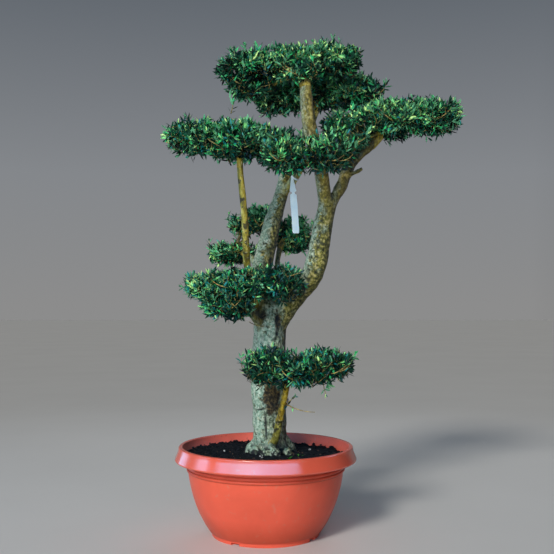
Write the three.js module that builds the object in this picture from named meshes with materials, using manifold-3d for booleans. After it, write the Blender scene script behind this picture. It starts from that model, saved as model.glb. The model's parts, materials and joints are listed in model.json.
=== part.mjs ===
// Olive grown as a cloud-pruned bonsai in a round moulded bowl pot. Millimetres, +Z up.
// The origin is the middle of the pot's flat underside, +X is to the right and +Y to the back.
import * as THREE from "three";
import { mergeVertices } from "three/addons/utils/BufferGeometryUtils.js";
import Module from "manifold-3d";

const wasm = await Module();
wasm.setup();
const { Manifold } = wasm;

// Gap that touching pieces keep.
const CLEARANCE = 0.3;

// Pot and soil
const RIM_RADIUS = 300;
const CREST_RADIUS = 286;
const POT_HEIGHT = 290;
const RIM_BOTTOM = 245;
const NECK_RADIUS = 258;
const FOOT_RADIUS = 177;
const FOOT_HEIGHT = 14;
const POT_WALL = 6;
const POT_FLOOR = 8;
const POT_SEGMENTS = 32;
const BODY_STEPS = 5;
const RIB_HEIGHTS = [219.5, 229];
const RIB_WIDTH = 8.4;
const RIB_DEPTH = 3;
const FOOT_NOTCHES = 4;
const FIRST_NOTCH_DEG = 57;
const NOTCH_SIZE = [14, 30, 16];
const SOIL_LEVEL = 258;
const SOIL_FLAT_RADIUS = 120;
const SOIL_DIP = 5;

// Trunk and its root flare
const TRUNK_RADIUS = 55.5;
const FLARE_GROWTH = 26;
const FLARE_HEIGHT = 42;
const ROOT_LOBES = 6;
const ROOT_LOBE_DEPTH = 5;
const SHOULDER_HEIGHT = 70;
const SHOULDER_TAPER = 0.5;
const TRUNK_SIDES = 16;
const BOUGH_SIDES = 10;
const TWIG_SIDES = 3;
const RING_STEP = 48;
const TRUNK_RING_STEP = 34;
const BEAD_STEP = 12;
// Surface error at which slivers left by joining pieces are merged.
const SMOOTHING = 0.3;
// How far a limb's wavy section stands over its plain radius.
const SWELL = 1.06;

// Foliage: how far leaves stand out of a mass's core, and how far apart leaves and leafy twigs stand
const LEAF_REACH = 26;
const LEAF_SPACING = 88;
const SPRAY_SPACING = 300;
const ROOT_DEPTH = 9;
const CORE_BUMPS = 0.12;
const LARGE_CORE = 84;
const TWIG_RADIUS = 3;
const TWIG_LENGTH = 44;
const LEAF_LENGTH = 50;
const LEAF_WIDTH = 18;
const LEAF_THICKNESS = 3;
const LEAF_WIDEST = 0.45;
const LEAF_SPREAD = 0.9;
const PAIR_SPACING = 38;
const UPWARD_LEAN = 0.25;
const FIRST_SEED = 100;
const LINK_RADIUS = 7;
const GOLDEN_ANGLE = Math.PI * (3 - Math.sqrt(5));
const UP = new THREE.Vector3(0, 0, 1);

// Limbs, each along its own few points from inside its parent, with its radius at both ends.
// "stem" is the last stretch, which belongs to the mass that the limb carries.
const LIMBS = {
  trunk: {
    points: [
      [14, 60, SOIL_LEVEL + CLEARANCE], [12, 56, 400], [10, 50, 540], [14, 44, 671], [18, 40, 765],
    ],
    radii: [TRUNK_RADIUS, TRUNK_RADIUS + 3],
    sides: TRUNK_SIDES,
    flared: true,
  },
  right_bough: {
    parent: "trunk",
    points: [
      [20, 42, 650], [56, 34, 724], [110, 20, 800], [144, 8, 838], [168, -4, 895], [181, -10, 965],
      [193, -20, 1037], [208, -36, 1104],
    ],
    radii: [38, 31],
  },
  upper_limb: {
    parent: "right_bough",
    points: [
      [200, -28, 1058], [190, -62, 1125], [179, -100, 1180], [160, -130, 1251], [141, -142, 1313],
      [131, -150, 1385], [126, -146, 1450], [110, -100, 1530],
    ],
    radii: [24, 18],
    carries: "top_front_mass",
    stem: 92,
  },
  right_upper_bough: {
    parent: "right_bough",
    points: [
      [208, -34, 1075], [232, -30, 1120], [255, -22, 1158], [268, -12, 1196], [287, 0, 1230],
      [312, 4, 1258], [350, 6, 1288], [410, 6, 1352],
    ],
    radii: [22, 14],
    carries: "right_mass",
    stem: 78,
    snag: { points: [[262, -14, 1170], [288, -28, 1190], [320, -38, 1206]], radii: [9, 7] },
  },
  left_bough: {
    parent: "trunk",
    points: [
      [6, 46, 660], [-12, 42, 745], [-19, 46, 800], [-20, 52, 856], [-8, 60, 908], [16, 80, 1012],
      [46, 115, 1120], [76, 142, 1222], [107, 165, 1306], [146, 180, 1382], [170, 176, 1435],
      [188, 165, 1490],
    ],
    radii: [39, 14],
    carries: "top_rear_mass",
    stem: 60,
  },
  centre_bough: {
    parent: "left_bough",
    points: [
      [50, 118, 1130], [88, 90, 1178], [115, 50, 1218], [124, -50, 1242], [118, -140, 1236],
      [112, -210, 1224],
    ],
    radii: [15, 10],
    carries: "centre_mass",
    stem: 62,
  },
  thin_stem: {
    parent: "trunk",
    sides: 7,
    points: [
      [0, 40, 690], [-36, 6, 762], [-52, -24, 825], [-62, -62, 890], [-65, -105, 950],
      [-68, -128, 1025], [-73, -136, 1089], [-79, -143, 1152], [-83, -150, 1200],
      [-84, -154, 1262],
    ],
    radii: [13, 10],
    carries: "left_mass",
    stem: 66,
  },
  middle_left_bough: {
    parent: "trunk",
    points: [[2, 32, 655], [-34, -22, 708], [-70, -72, 752], [-96, -112, 796]],
    radii: [15, 11],
    carries: "middle_left_mass",
    stem: 62,
  },
  rear_right_bough: {
    parent: "trunk",
    points: [[20, 58, 690], [30, 92, 790], [39, 122, 890], [50, 156, 955], [76, 188, 1006]],
    radii: [14, 9],
    carries: "rear_right_mass",
    stem: 66,
  },
  rear_left_bough: {
    parent: "left_bough",
    points: [[-18, 56, 872], [-40, 98, 906], [-76, 146, 934], [-112, 184, 960]],
    radii: [15, 9],
    carries: "rear_left_mass",
    stem: 64,
  },
  lower_shoot: {
    parent: "trunk",
    points: [
      [18, 34, 284], [26, -18, 299], [32, -46, 322], [44, -80, 383], [57, -125, 452],
      [64, -152, 490], [72, -184, 552],
    ],
    radii: [14, 9],
    carries: "lower_front_mass",
    stem: 60,
  },
};

// Foliage masses: round lobes as a centre and half sizes, and the furthest tips that sprigs reach.
const MASSES = {
  top_front_mass: {
    lobes: [
      [-40, -66, 1532, 128, 120, 64], [84, -86, 1548, 124, 112, 60],
      [206, -48, 1560, 116, 112, 72], [-52, -30, 1482, 84, 90, 48], [112, -150, 1500, 80, 60, 46],
    ],
    tips: [
      [-167, -60, 1520], [-76, -90, 1614], [185, -60, 1644], [322, -60, 1602], [20, -150, 1480],
    ],
  },
  top_rear_mass: {
    lobes: [
      [54, 130, 1486, 108, 108, 72], [186, 150, 1510, 130, 118, 80],
      [306, 118, 1500, 108, 112, 70],
    ],
    tips: [[432, 140, 1530], [-38, 120, 1470], [400, 60, 1484]],
  },
  right_mass: {
    lobes: [
      [290, -8, 1354, 108, 108, 64], [420, 0, 1382, 136, 126, 76], [552, 0, 1386, 110, 102, 72],
      [262, -84, 1288, 74, 66, 50],
    ],
    tips: [[672, 0, 1444], [650, -30, 1372], [560, 40, 1464]],
  },
  left_mass: {
    lobes: [
      [-214, -150, 1288, 112, 104, 64], [-92, -158, 1275, 122, 114, 78],
      [22, -142, 1268, 84, 84, 64],
    ],
    tips: [[-326, -150, 1296], [-290, -120, 1226], [-60, -150, 1356]],
  },
  centre_mass: {
    lobes: [[70, -236, 1214, 92, 76, 60], [182, -228, 1222, 92, 74, 66]],
    tips: [[259, -220, 1268], [112, -230, 1152]],
  },
  middle_left_mass: {
    lobes: [
      [-170, -96, 814, 98, 90, 54], [-74, -126, 824, 104, 92, 62], [44, -134, 824, 88, 78, 66],
      [-120, -116, 760, 92, 86, 66],
    ],
    tips: [[-269, -80, 816], [124, -120, 866], [-200, -90, 726]],
  },
  rear_left_mass: {
    lobes: [
      [-122, 198, 940, 88, 80, 52], [-90, 202, 1040, 42, 46, 38], [-28, 206, 1058, 52, 52, 62],
    ],
    tips: [[-208, 196, 944]],
  },
  rear_right_mass: {
    lobes: [[96, 208, 1006, 74, 78, 76]],
    tips: [[150, 212, 1080]],
  },
  lower_front_mass: {
    lobes: [
      [14, -188, 562, 90, 84, 70], [108, -196, 554, 94, 84, 64], [190, -186, 570, 90, 78, 58],
    ],
    tips: [[292, -190, 594], [196, -190, 488], [-82, -190, 578]],
  },
};

// Tag hung on the centre bough by a closed strap
const TAG_HANGS_AT = 93;
const TAG_LENGTH = 195;
const TAG_WIDTH = 23;
const TAG_LEAN = 0.07;
const HEAD_LENGTH = 50;
const NECK_LENGTH = 5;
const NECK_WIDTH = 10;
const NECK_SLOPE = 4;
const STRAP_WIDTH = 6;
const STRAP_THICKNESS = 1.6;

const PAINT = {
  bark: ["#8d8468", 0.9],
  terracotta: ["#d4614f", 0.35],
  soil: ["#2b211c", 1],
  leaf: ["#3f5f3a", 0.5],
  label: ["#eef2f5", 0.4],
};

// A repeatable stream of numbers from 0 to 1.
function randomStream(seed) {
  let state = seed >>> 0;
  return () => {
    state = (state + 0x6d2b79f5) >>> 0;
    let mixed = Math.imul(state ^ (state >>> 15), 1 | state);
    mixed = (mixed + Math.imul(mixed ^ (mixed >>> 7), 61 | mixed)) ^ mixed;
    return ((mixed ^ (mixed >>> 14)) >>> 0) / 4294967296;
  };
}

const vector = (point) => new THREE.Vector3(...point);

// A closed geometry as a solid: shared vertices merged, collapsed faces left out.
function solidFrom(geometry) {
  const bare = geometry.clone();
  bare.deleteAttribute("normal");
  bare.deleteAttribute("uv");
  const merged = mergeVertices(bare, 1e-3);
  const corners = merged.index.array;
  const kept = [];
  for (let i = 0; i < corners.length; i += 3) {
    const [a, b, c] = corners.slice(i, i + 3);
    if (a !== b && b !== c && c !== a) kept.push(a, b, c);
  }
  const vertProperties = new Float32Array(merged.attributes.position.array);
  return new Manifold(new wasm.Mesh({ numProp: 3, vertProperties, triVerts: new Uint32Array(kept) }));
}

// The largest body of a solid, so that sealed hollows are filled and loose scraps dropped.
function largestBody(solid) {
  const bodies = solid.decompose();
  bodies.sort((first, second) => second.volume() - first.volume());
  return bodies[0];
}

// One body of a solid, with the slivers that joining leaves merged.
function mainBody(solid) {
  return largestBody(largestBody(solid).asOriginal().simplify(SMOOTHING));
}

function meshFrom(name, solid, paint) {
  const { vertProperties, triVerts } = solid.getMesh();
  const geometry = new THREE.BufferGeometry();
  geometry.setAttribute("position", new THREE.BufferAttribute(new Float32Array(vertProperties), 3));
  geometry.setIndex(new THREE.BufferAttribute(new Uint32Array(triVerts), 1));
  geometry.computeVertexNormals();
  const [color, roughness] = paint;
  const material = new THREE.MeshStandardMaterial({ color, roughness, metalness: 0 });
  const mesh = new THREE.Mesh(geometry, material);
  mesh.name = name;
  return mesh;
}

// Rings of points joined into a closed tube with flat ends.
function closedTube(rings) {
  const sides = rings[0].length;
  const positions = rings.flat().flatMap((point) => point.toArray());
  const faces = [];
  for (let ring = 0; ring < rings.length - 1; ring++) {
    for (let side = 0; side < sides; side++) {
      const a = ring * sides + side;
      const b = ring * sides + ((side + 1) % sides);
      faces.push(a, b, b + sides, a, b + sides, a + sides);
    }
  }
  const last = (rings.length - 1) * sides;
  for (let side = 1; side < sides - 1; side++) {
    faces.push(0, side + 1, side);
    faces.push(last, last + side, last + side + 1);
  }
  const geometry = new THREE.BufferGeometry();
  geometry.setAttribute("position", new THREE.Float32BufferAttribute(positions, 3));
  geometry.setIndex(faces);
  return geometry;
}

// A limb is a smooth curve with a radius at each distance along it.
function growLimb(name, { points, radii, sides = BOUGH_SIDES, flared = false }) {
  const curve = new THREE.CatmullRomCurve3(points.map(vector), false, "centripetal");
  const length = curve.getLength();
  const span = new THREE.Vector3().subVectors(vector(points.at(-1)), vector(points[0]));
  const runsBack = Math.abs(span.y) > 0.5 * span.length();
  const reference = runsBack ? new THREE.Vector3(1, 0, 0) : new THREE.Vector3(0, 1, 0);
  const phase = name.length;
  const radiusAt = (distance, angle) => {
    const plain = THREE.MathUtils.lerp(radii[0], radii[1], distance / length);
    const wavy = plain * (1 + 0.04 * Math.sin(2 * angle + distance / 70 + phase));
    if (!flared) return wavy;
    const lobes = FLARE_GROWTH + ROOT_LOBE_DEPTH * Math.cos(ROOT_LOBES * angle + phase);
    const flare = lobes * Math.exp(-((distance / FLARE_HEIGHT) ** 2));
    const rounding = THREE.MathUtils.smoothstep(distance, length - SHOULDER_HEIGHT, length);
    return wavy * (1 - SHOULDER_TAPER * rounding) + flare;
  };
  const pointAt = (distance) => curve.getPointAt(THREE.MathUtils.clamp(distance / length, 0, 1));
  const ringAt = (distance, grow) => {
    const centre = pointAt(distance);
    const tangent = curve.getTangentAt(THREE.MathUtils.clamp(distance / length, 0, 1));
    if (flared && distance === 0) tangent.set(0, 0, 1);
    const across = new THREE.Vector3().crossVectors(reference, tangent).normalize();
    const along = new THREE.Vector3().crossVectors(tangent, across);
    return Array.from({ length: sides }, (_, side) => {
      const angle = (2 * Math.PI * side) / sides;
      const radius = radiusAt(distance, angle) + grow;
      return centre
        .clone()
        .addScaledVector(across, radius * Math.cos(angle))
        .addScaledVector(along, radius * Math.sin(angle));
    });
  };
  const solidBetween = (from, to, grow = 0) => {
    const steps = Math.max(2, Math.ceil((to - from) / (flared ? TRUNK_RING_STEP : RING_STEP)));
    const step = (to - from) / steps;
    const rings = Array.from({ length: steps + 1 }, (_, i) => ringAt(from + step * i, grow));
    return solidFrom(closedTube(rings));
  };
  return { name, length, pointAt, radiusAt, solidBetween };
}

// Points with a radius along a stretch of a limb.
function beadsAlong(limb, from, to) {
  return Array.from({ length: Math.ceil((to - from) / BEAD_STEP) + 1 }, (_, i) => {
    const distance = Math.min(from + BEAD_STEP * i, to);
    return { centre: limb.pointAt(distance), radius: limb.radiusAt(distance, 0) };
  });
}

// Distance along a limb at which its whole section has left its parent and the limbs beside it.
function collarEnd(limb, neighbours) {
  const beads = neighbours.flatMap((other) => beadsAlong(other, 0, other.length));
  for (let distance = 0; distance < limb.length; distance += 4) {
    const point = limb.pointAt(distance);
    const gap = Math.min(...beads.map(({ centre, radius }) => centre.distanceTo(point) - SWELL * radius));
    if (gap > limb.radiusAt(distance, 0)) return distance;
  }
  throw new Error(limb.name + " never leaves its parent");
}

// Distance from a lobe's surface, negative inside.
function lobeDistance(point, [x, y, z, a, b, c]) {
  const scaled = new THREE.Vector3((point.x - x) / a, (point.y - y) / b, (point.z - z) / c);
  const steep = new THREE.Vector3(scaled.x / a, scaled.y / b, scaled.z / c).length();
  const size = scaled.length();
  return steep < 1e-9 ? -Math.min(a, b, c) : (size * (size - 1)) / steep;
}

const massDistance = (point, mass) => Math.min(...mass.lobes.map((lobe) => lobeDistance(point, lobe)));

const coreOf = ([x, y, z, a, b, c]) => [x, y, z, a - LEAF_REACH, b - LEAF_REACH, c - LEAF_REACH];

// A leaf: a long flat lozenge of eight faces, from its root along a direction.
function leafSolid(root, direction, flat, length) {
  const side = new THREE.Vector3().crossVectors(direction, flat).normalize();
  const normal = new THREE.Vector3().crossVectors(side, direction).normalize();
  const middle = root.clone().addScaledVector(direction, length * LEAF_WIDEST);
  const corners = [
    root,
    root.clone().addScaledVector(direction, length),
    middle.clone().addScaledVector(side, LEAF_WIDTH / 2),
    middle.clone().addScaledVector(normal, LEAF_THICKNESS / 2),
    middle.clone().addScaledVector(side, -LEAF_WIDTH / 2),
    middle.clone().addScaledVector(normal, -LEAF_THICKNESS / 2),
  ];
  const geometry = new THREE.BufferGeometry();
  const positions = corners.flatMap((corner) => corner.toArray());
  geometry.setAttribute("position", new THREE.Float32BufferAttribute(positions, 3));
  const faces = [2, 3, 4, 5].flatMap((corner, i, around) => {
    const next = around[(i + 1) % 4];
    return [0, corner, next, 1, next, corner];
  });
  geometry.setIndex(faces);
  return solidFrom(geometry);
}

// A straight three-sided twig.
function twigSolid(from, to, thick, thin) {
  const direction = new THREE.Vector3().subVectors(to, from).normalize();
  const helper = Math.abs(direction.z) > 0.8 ? new THREE.Vector3(1, 0, 0) : UP;
  const across = new THREE.Vector3().crossVectors(helper, direction).normalize();
  const along = new THREE.Vector3().crossVectors(direction, across);
  const ring = (centre, radius) =>
    Array.from({ length: TWIG_SIDES }, (_, side) => {
      const angle = (2 * Math.PI * side) / TWIG_SIDES;
      return centre
        .clone()
        .addScaledVector(across, radius * Math.cos(angle))
        .addScaledVector(along, radius * Math.sin(angle));
    });
  return solidFrom(closedTube([ring(from, thick), ring(to, thin)]));
}

// The core of a lobe: a faceted ball stretched to its half sizes.
function coreSolid([x, y, z, a, b, c]) {
  const ball = new THREE.IcosahedronGeometry(1, Math.max(a, b) > LARGE_CORE ? 2 : 1);
  const { position } = ball.attributes;
  for (let i = 0; i < position.count; i++) {
    const unit = new THREE.Vector3().fromBufferAttribute(position, i);
    const bump = Math.sin(4 * unit.x + x) * Math.sin(4 * unit.y + y) + 0.5 * Math.sin(6 * unit.z + z);
    unit.multiplyScalar(1 + CORE_BUMPS * bump);
    position.setXYZ(i, unit.x, unit.y, unit.z);
  }
  return solidFrom(ball.scale(a, b, c).translate(x, y, z));
}

// Whether foliage may reach a point: inside its own mass's space, and clear of the others and the limbs.
function isFree(point, name, margin, obstacles) {
  const own = massDistance(point, MASSES[name]);
  if (own > margin) return false;
  for (const [other, mass] of Object.entries(MASSES)) {
    if (other !== name && massDistance(point, mass) < own + 2 * LEAF_WIDTH) return false;
  }
  return obstacles.every(({ centre, radius }) => centre.distanceTo(point) > radius + LEAF_WIDTH);
}

// A leaf where there is room for its middle and its tip, or nothing.
function roomyLeaf(name, root, heading, flat, size, obstacles, stray) {
  const places = [0.5, 1].map((share) => root.clone().addScaledVector(heading, size * share));
  const roomy = places.every((place) => isFree(place, name, stray, obstacles));
  return roomy ? [leafSolid(root, heading, flat, size)] : [];
}

// A twig with leaves in opposite pairs and one at its end, or nothing where it has no room.
function spraySolids(name, from, to, random, obstacles, stray) {
  const twig = new THREE.Vector3().subVectors(to, from);
  const length = twig.length();
  const direction = twig.clone().normalize();
  const level = new THREE.Vector3().crossVectors(direction, UP).normalize();
  const side = level.applyAxisAngle(direction, random() * Math.PI);
  const flat = new THREE.Vector3().crossVectors(direction, side);
  const solids = [];
  const pairs = Math.max(1, Math.round(length / PAIR_SPACING));
  for (let pair = 0; pair < pairs; pair++) {
    const root = from.clone().addScaledVector(direction, length * (0.45 + (0.45 * pair) / pairs));
    for (const sign of [-1, 1]) {
      const heading = direction.clone();
      heading.addScaledVector(side, sign * LEAF_SPREAD * (0.8 + 0.4 * random()));
      heading.addScaledVector(flat, (random() - 0.5) * 0.5).normalize();
      const size = LEAF_LENGTH * (0.75 + 0.3 * random());
      solids.push(...roomyLeaf(name, root, heading, flat, size, obstacles, stray));
    }
    side.applyAxisAngle(direction, Math.PI / 2);
    flat.applyAxisAngle(direction, Math.PI / 2);
  }
  if (!solids.length) return [];
  const last = from.clone().addScaledVector(direction, length - TWIG_RADIUS * 2);
  solids.push(...roomyLeaf(name, last, direction, flat, LEAF_LENGTH * 0.8, obstacles, stray));
  return [...solids, twigSolid(from, to, TWIG_RADIUS, TWIG_RADIUS * 0.6)];
}

// Evenly spaced places on a lobe's core that no other core covers, each with a heading outwards.
function corePlaces(lobe, mass, spacing, random) {
  const [x, y, z, a, b, c] = coreOf(lobe);
  const area = 4 * Math.PI * (((a * b) ** 1.6 + (a * c) ** 1.6 + (b * c) ** 1.6) / 3) ** (1 / 1.6);
  const count = Math.round(area / spacing ** 2) + 2;
  const places = [];
  for (let i = 0; i < count; i++) {
    const height = 1 - (2 * (i + 0.5)) / count;
    const around = i * GOLDEN_ANGLE + random() * 0.5;
    const level = Math.sqrt(1 - height ** 2);
    const unit = new THREE.Vector3(level * Math.cos(around), level * Math.sin(around), height);
    const foot = new THREE.Vector3(x + a * unit.x, y + b * unit.y, z + c * unit.z);
    const outward = new THREE.Vector3(unit.x / a, unit.y / b, unit.z / c).normalize();
    outward.addScaledVector(UP, UPWARD_LEAN);
    outward.add(new THREE.Vector3(random() - 0.5, random() - 0.5, random() - 0.5)).normalize();
    const covered = mass.lobes.some((other) => other !== lobe && lobeDistance(foot, coreOf(other)) < 0);
    if (!covered) places.push({ foot, outward });
  }
  return places;
}

// Single leaves, and fewer leafy twigs, stand out of a lobe's core.
function lobeFoliage(name, lobe, mass, random, obstacles) {
  const leaves = corePlaces(lobe, mass, LEAF_SPACING, random).flatMap(({ foot, outward }) => {
    const root = foot.clone().addScaledVector(outward, -ROOT_DEPTH);
    const flat = new THREE.Vector3(random() - 0.5, random() - 0.5, 1).normalize();
    const size = LEAF_LENGTH * (0.7 + 0.3 * random());
    return roomyLeaf(name, root, outward, flat, size, obstacles, LEAF_REACH);
  });
  const sprays = corePlaces(lobe, mass, SPRAY_SPACING, random).flatMap(({ foot, outward }) => {
    const from = foot.clone().addScaledVector(outward, -ROOT_DEPTH);
    const to = from.clone().addScaledVector(outward, TWIG_LENGTH * (0.7 + 0.3 * random()));
    return spraySolids(name, from, to, random, obstacles, LEAF_REACH);
  });
  return [...leaves, ...sprays];
}

// Sprigs run from the nearest core to the mass's furthest tips.
function sprigSolids(name, mass, random, obstacles) {
  return mass.tips.flatMap((tip) => {
    const end = vector(tip);
    const cores = mass.lobes.map(coreOf);
    cores.sort((first, second) => lobeDistance(end, first) - lobeDistance(end, second));
    const centre = vector(cores[0]);
    const inward = new THREE.Vector3().subVectors(centre, end);
    const gap = Math.min(lobeDistance(end, cores[0]) + 3 * ROOT_DEPTH, inward.length());
    const from = end.clone().addScaledVector(inward.normalize(), gap);
    const to = end.clone().addScaledVector(inward, LEAF_LENGTH * 0.6);
    return spraySolids(name, from, to, random, obstacles, LEAF_REACH * 3);
  });
}

function growMass(name, limb, stemStart, limbs, seed) {
  const mass = MASSES[name];
  const random = randomStream(seed);
  const obstacles = limbs.flatMap(({ limb: other, from, to }) => beadsAlong(other, from, to));
  const solids = [limb.solidBetween(stemStart, limb.length)];
  const fork = limb.pointAt(limb.length - 4);
  for (const lobe of mass.lobes) {
    solids.push(coreSolid(coreOf(lobe)));
    solids.push(twigSolid(fork, vector(lobe), LINK_RADIUS, LINK_RADIUS * 0.7));
    solids.push(...lobeFoliage(name, lobe, mass, random, obstacles));
  }
  solids.push(...sprigSolids(name, mass, random, obstacles));
  const clear = limbs
    .filter(({ limb: other, to }) => other !== limb || to < stemStart)
    .map(({ limb: other, from, to }) => other.solidBetween(from, to, CLEARANCE * 2));
  return mainBody(Manifold.union(solids).subtract(Manifold.union(clear)));
}

// The pot's section: flat underside, foot ring, swelling body, two ribs, neck and flared rim.
function potProfile() {
  const body = new THREE.QuadraticBezierCurve(
    new THREE.Vector2(FOOT_RADIUS + 7, FOOT_HEIGHT),
    new THREE.Vector2(240, 92),
    new THREE.Vector2(NECK_RADIUS - 2, RIB_HEIGHTS[0] - RIB_WIDTH),
  ).getPoints(BODY_STEPS);
  const ribs = RIB_HEIGHTS.flatMap((height) => [
    [NECK_RADIUS - 1, height - RIB_WIDTH / 2],
    [NECK_RADIUS + RIB_DEPTH, height - RIB_WIDTH / 4],
    [NECK_RADIUS + RIB_DEPTH, height + RIB_WIDTH / 4],
    [NECK_RADIUS, height + RIB_WIDTH / 2],
  ]);
  const rim = [
    [NECK_RADIUS, RIM_BOTTOM - 6],
    [NECK_RADIUS + 5, RIM_BOTTOM - 1],
    [RIM_RADIUS - 8, RIM_BOTTOM - 2],
    [RIM_RADIUS, RIM_BOTTOM + 4],
    [CREST_RADIUS + 2, POT_HEIGHT - 8],
    [CREST_RADIUS - 2, POT_HEIGHT - 1],
    [CREST_RADIUS - 6, POT_HEIGHT],
    [CREST_RADIUS - 11, POT_HEIGHT - 4],
  ];
  const inside = [
    [CREST_RADIUS - 17, POT_HEIGHT - 26],
    [NECK_RADIUS - POT_WALL, RIM_BOTTOM - 8],
    ...body.slice(1).reverse().map((point) => [point.x - POT_WALL, point.y]),
    [FOOT_RADIUS, POT_FLOOR + 6],
    [FOOT_RADIUS - 12, POT_FLOOR],
    [0, POT_FLOOR],
  ];
  const foot = [[0, 0], [FOOT_RADIUS, 0], [FOOT_RADIUS, FOOT_HEIGHT - 1]];
  return { outside: [...foot, ...body.map((point) => [point.x, point.y]), ...ribs, ...rim], inside };
}

function latheSolid(profile) {
  const points = profile.map(([radius, height]) => new THREE.Vector2(radius, height));
  return solidFrom(new THREE.LatheGeometry(points, POT_SEGMENTS).rotateX(Math.PI / 2));
}

function potSolid() {
  const { outside, inside } = potProfile();
  const bowl = latheSolid([...outside, ...inside]);
  const notches = Array.from({ length: FOOT_NOTCHES }, (_, i) => {
    const notch = new THREE.BoxGeometry(...NOTCH_SIZE).translate(FOOT_RADIUS, 0, 0);
    const turn = THREE.MathUtils.degToRad(FIRST_NOTCH_DEG) + (2 * Math.PI * i) / FOOT_NOTCHES;
    return solidFrom(notch.rotateZ(turn));
  });
  return mainBody(bowl.subtract(Manifold.union(notches)));
}

// Soil fills the pot to its level, flat round the trunk and lower in a ring before the wall.
function soilSolid() {
  const { inside } = potProfile();
  const wall = inside
    .filter(([, height]) => height < SOIL_LEVEL - 10)
    .map(([radius, height]) => [Math.max(radius - 2 * CLEARANCE, 0), height + CLEARANCE]);
  const top = [
    [CREST_RADIUS - 24, SOIL_LEVEL],
    [(SOIL_FLAT_RADIUS + CREST_RADIUS) / 2, SOIL_LEVEL - SOIL_DIP],
    [SOIL_FLAT_RADIUS, SOIL_LEVEL],
    [0, SOIL_LEVEL],
  ];
  return latheSolid([...wall.reverse(), ...top]);
}

// The tag: a plate with a long arrow head above a notch, on a strap closed round its bough.
function tagSolid({ limb: bough, from, to }) {
  const centre = bough.pointAt(TAG_HANGS_AT);
  const along = new THREE.Vector3().subVectors(bough.pointAt(TAG_HANGS_AT + 1), centre).normalize();
  const forward = new THREE.Vector3(-1, -1, 0);
  forward.addScaledVector(along, -forward.dot(along)).normalize();
  const reach = bough.radiusAt(TAG_HANGS_AT, 0) + STRAP_THICKNESS / 2;
  const anchor = centre.clone().addScaledVector(forward, reach);
  const half = TAG_WIDTH / 2;
  const neck = -HEAD_LENGTH - NECK_SLOPE;
  const right = [
    [half, -TAG_LENGTH], [half, neck - NECK_LENGTH - NECK_SLOPE],
    [NECK_WIDTH / 2, neck - NECK_LENGTH], [NECK_WIDTH / 2, neck],
    [half, -HEAD_LENGTH], [STRAP_WIDTH / 2, 0], [STRAP_WIDTH / 2, STRAP_WIDTH / 2],
  ];
  const left = right.map(([x, y]) => [-x, y]).reverse();
  const outline = new THREE.Shape([...right, ...left].map(([x, y]) => new THREE.Vector2(x, y)));
  const plate = new THREE.ExtrudeGeometry(outline, { depth: STRAP_THICKNESS, bevelEnabled: false });
  plate.rotateX(Math.PI / 2).rotateY(-TAG_LEAN).translate(...anchor.toArray());
  const ends = [TAG_HANGS_AT - STRAP_WIDTH, TAG_HANGS_AT + STRAP_WIDTH];
  const strap = bough.solidBetween(...ends, 2 * CLEARANCE + STRAP_THICKNESS);
  const room = bough.solidBetween(from + CLEARANCE, to, 2 * CLEARANCE);
  return mainBody(solidFrom(plate).add(strap).subtract(room));
}

const tree = new THREE.Group();
tree.name = "olive_bonsai";

const limbs = {};
for (const [name, shape] of Object.entries(LIMBS)) limbs[name] = growLimb(name, shape);

// Each limb's own stretch: from its collar on the parent to the stem of the mass that it carries.
const stretches = Object.values(limbs).map((limb) => {
  const { parent, stem = 0 } = LIMBS[limb.name];
  const others = Object.values(limbs).filter((other) => other !== limb);
  const beside = others.filter((other) => LIMBS[other.name].parent === parent);
  const from = parent ? collarEnd(limb, [limbs[parent], ...beside]) : 0;
  return { limb, from, to: limb.length - stem };
});

for (const { limb, from, to } of stretches) {
  const children = stretches.filter(({ limb: child }) => LIMBS[child.name].parent === limb.name);
  const collars = children.map(({ limb: child, from: end }) => child.solidBetween(0, end));
  const { parent, snag } = LIMBS[limb.name];
  if (snag) {
    const stump = growLimb("snag", snag);
    collars.push(stump.solidBetween(0, stump.length));
  }
  const start = parent ? from + CLEARANCE : from;
  const solid = mainBody(Manifold.union([limb.solidBetween(start, to), ...collars]));
  tree.add(meshFrom(limb.name, solid, PAINT.bark));
}

const carriers = stretches.filter(({ limb }) => LIMBS[limb.name].carries);
for (const [index, { limb, to }] of carriers.entries()) {
  const { carries } = LIMBS[limb.name];
  const solid = growMass(carries, limb, to + CLEARANCE, stretches, FIRST_SEED + index);
  tree.add(meshFrom(carries, solid, PAINT.leaf));
}

tree.add(meshFrom("pot", potSolid(), PAINT.terracotta));
tree.add(meshFrom("soil", soilSolid(), PAINT.soil));
const tagBough = stretches.find(({ limb }) => limb.name === "centre_bough");
tree.add(meshFrom("tag", tagSolid(tagBough), PAINT.label));

export default tree;
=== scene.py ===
"""An olive grown as a cloud-pruned bonsai, in a round moulded bowl pot, dressed for its picture.

Lengths in the tables are millimetres, in the part's own frame, and MM turns them to metres.
"""
import itertools
import json
import math

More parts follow.
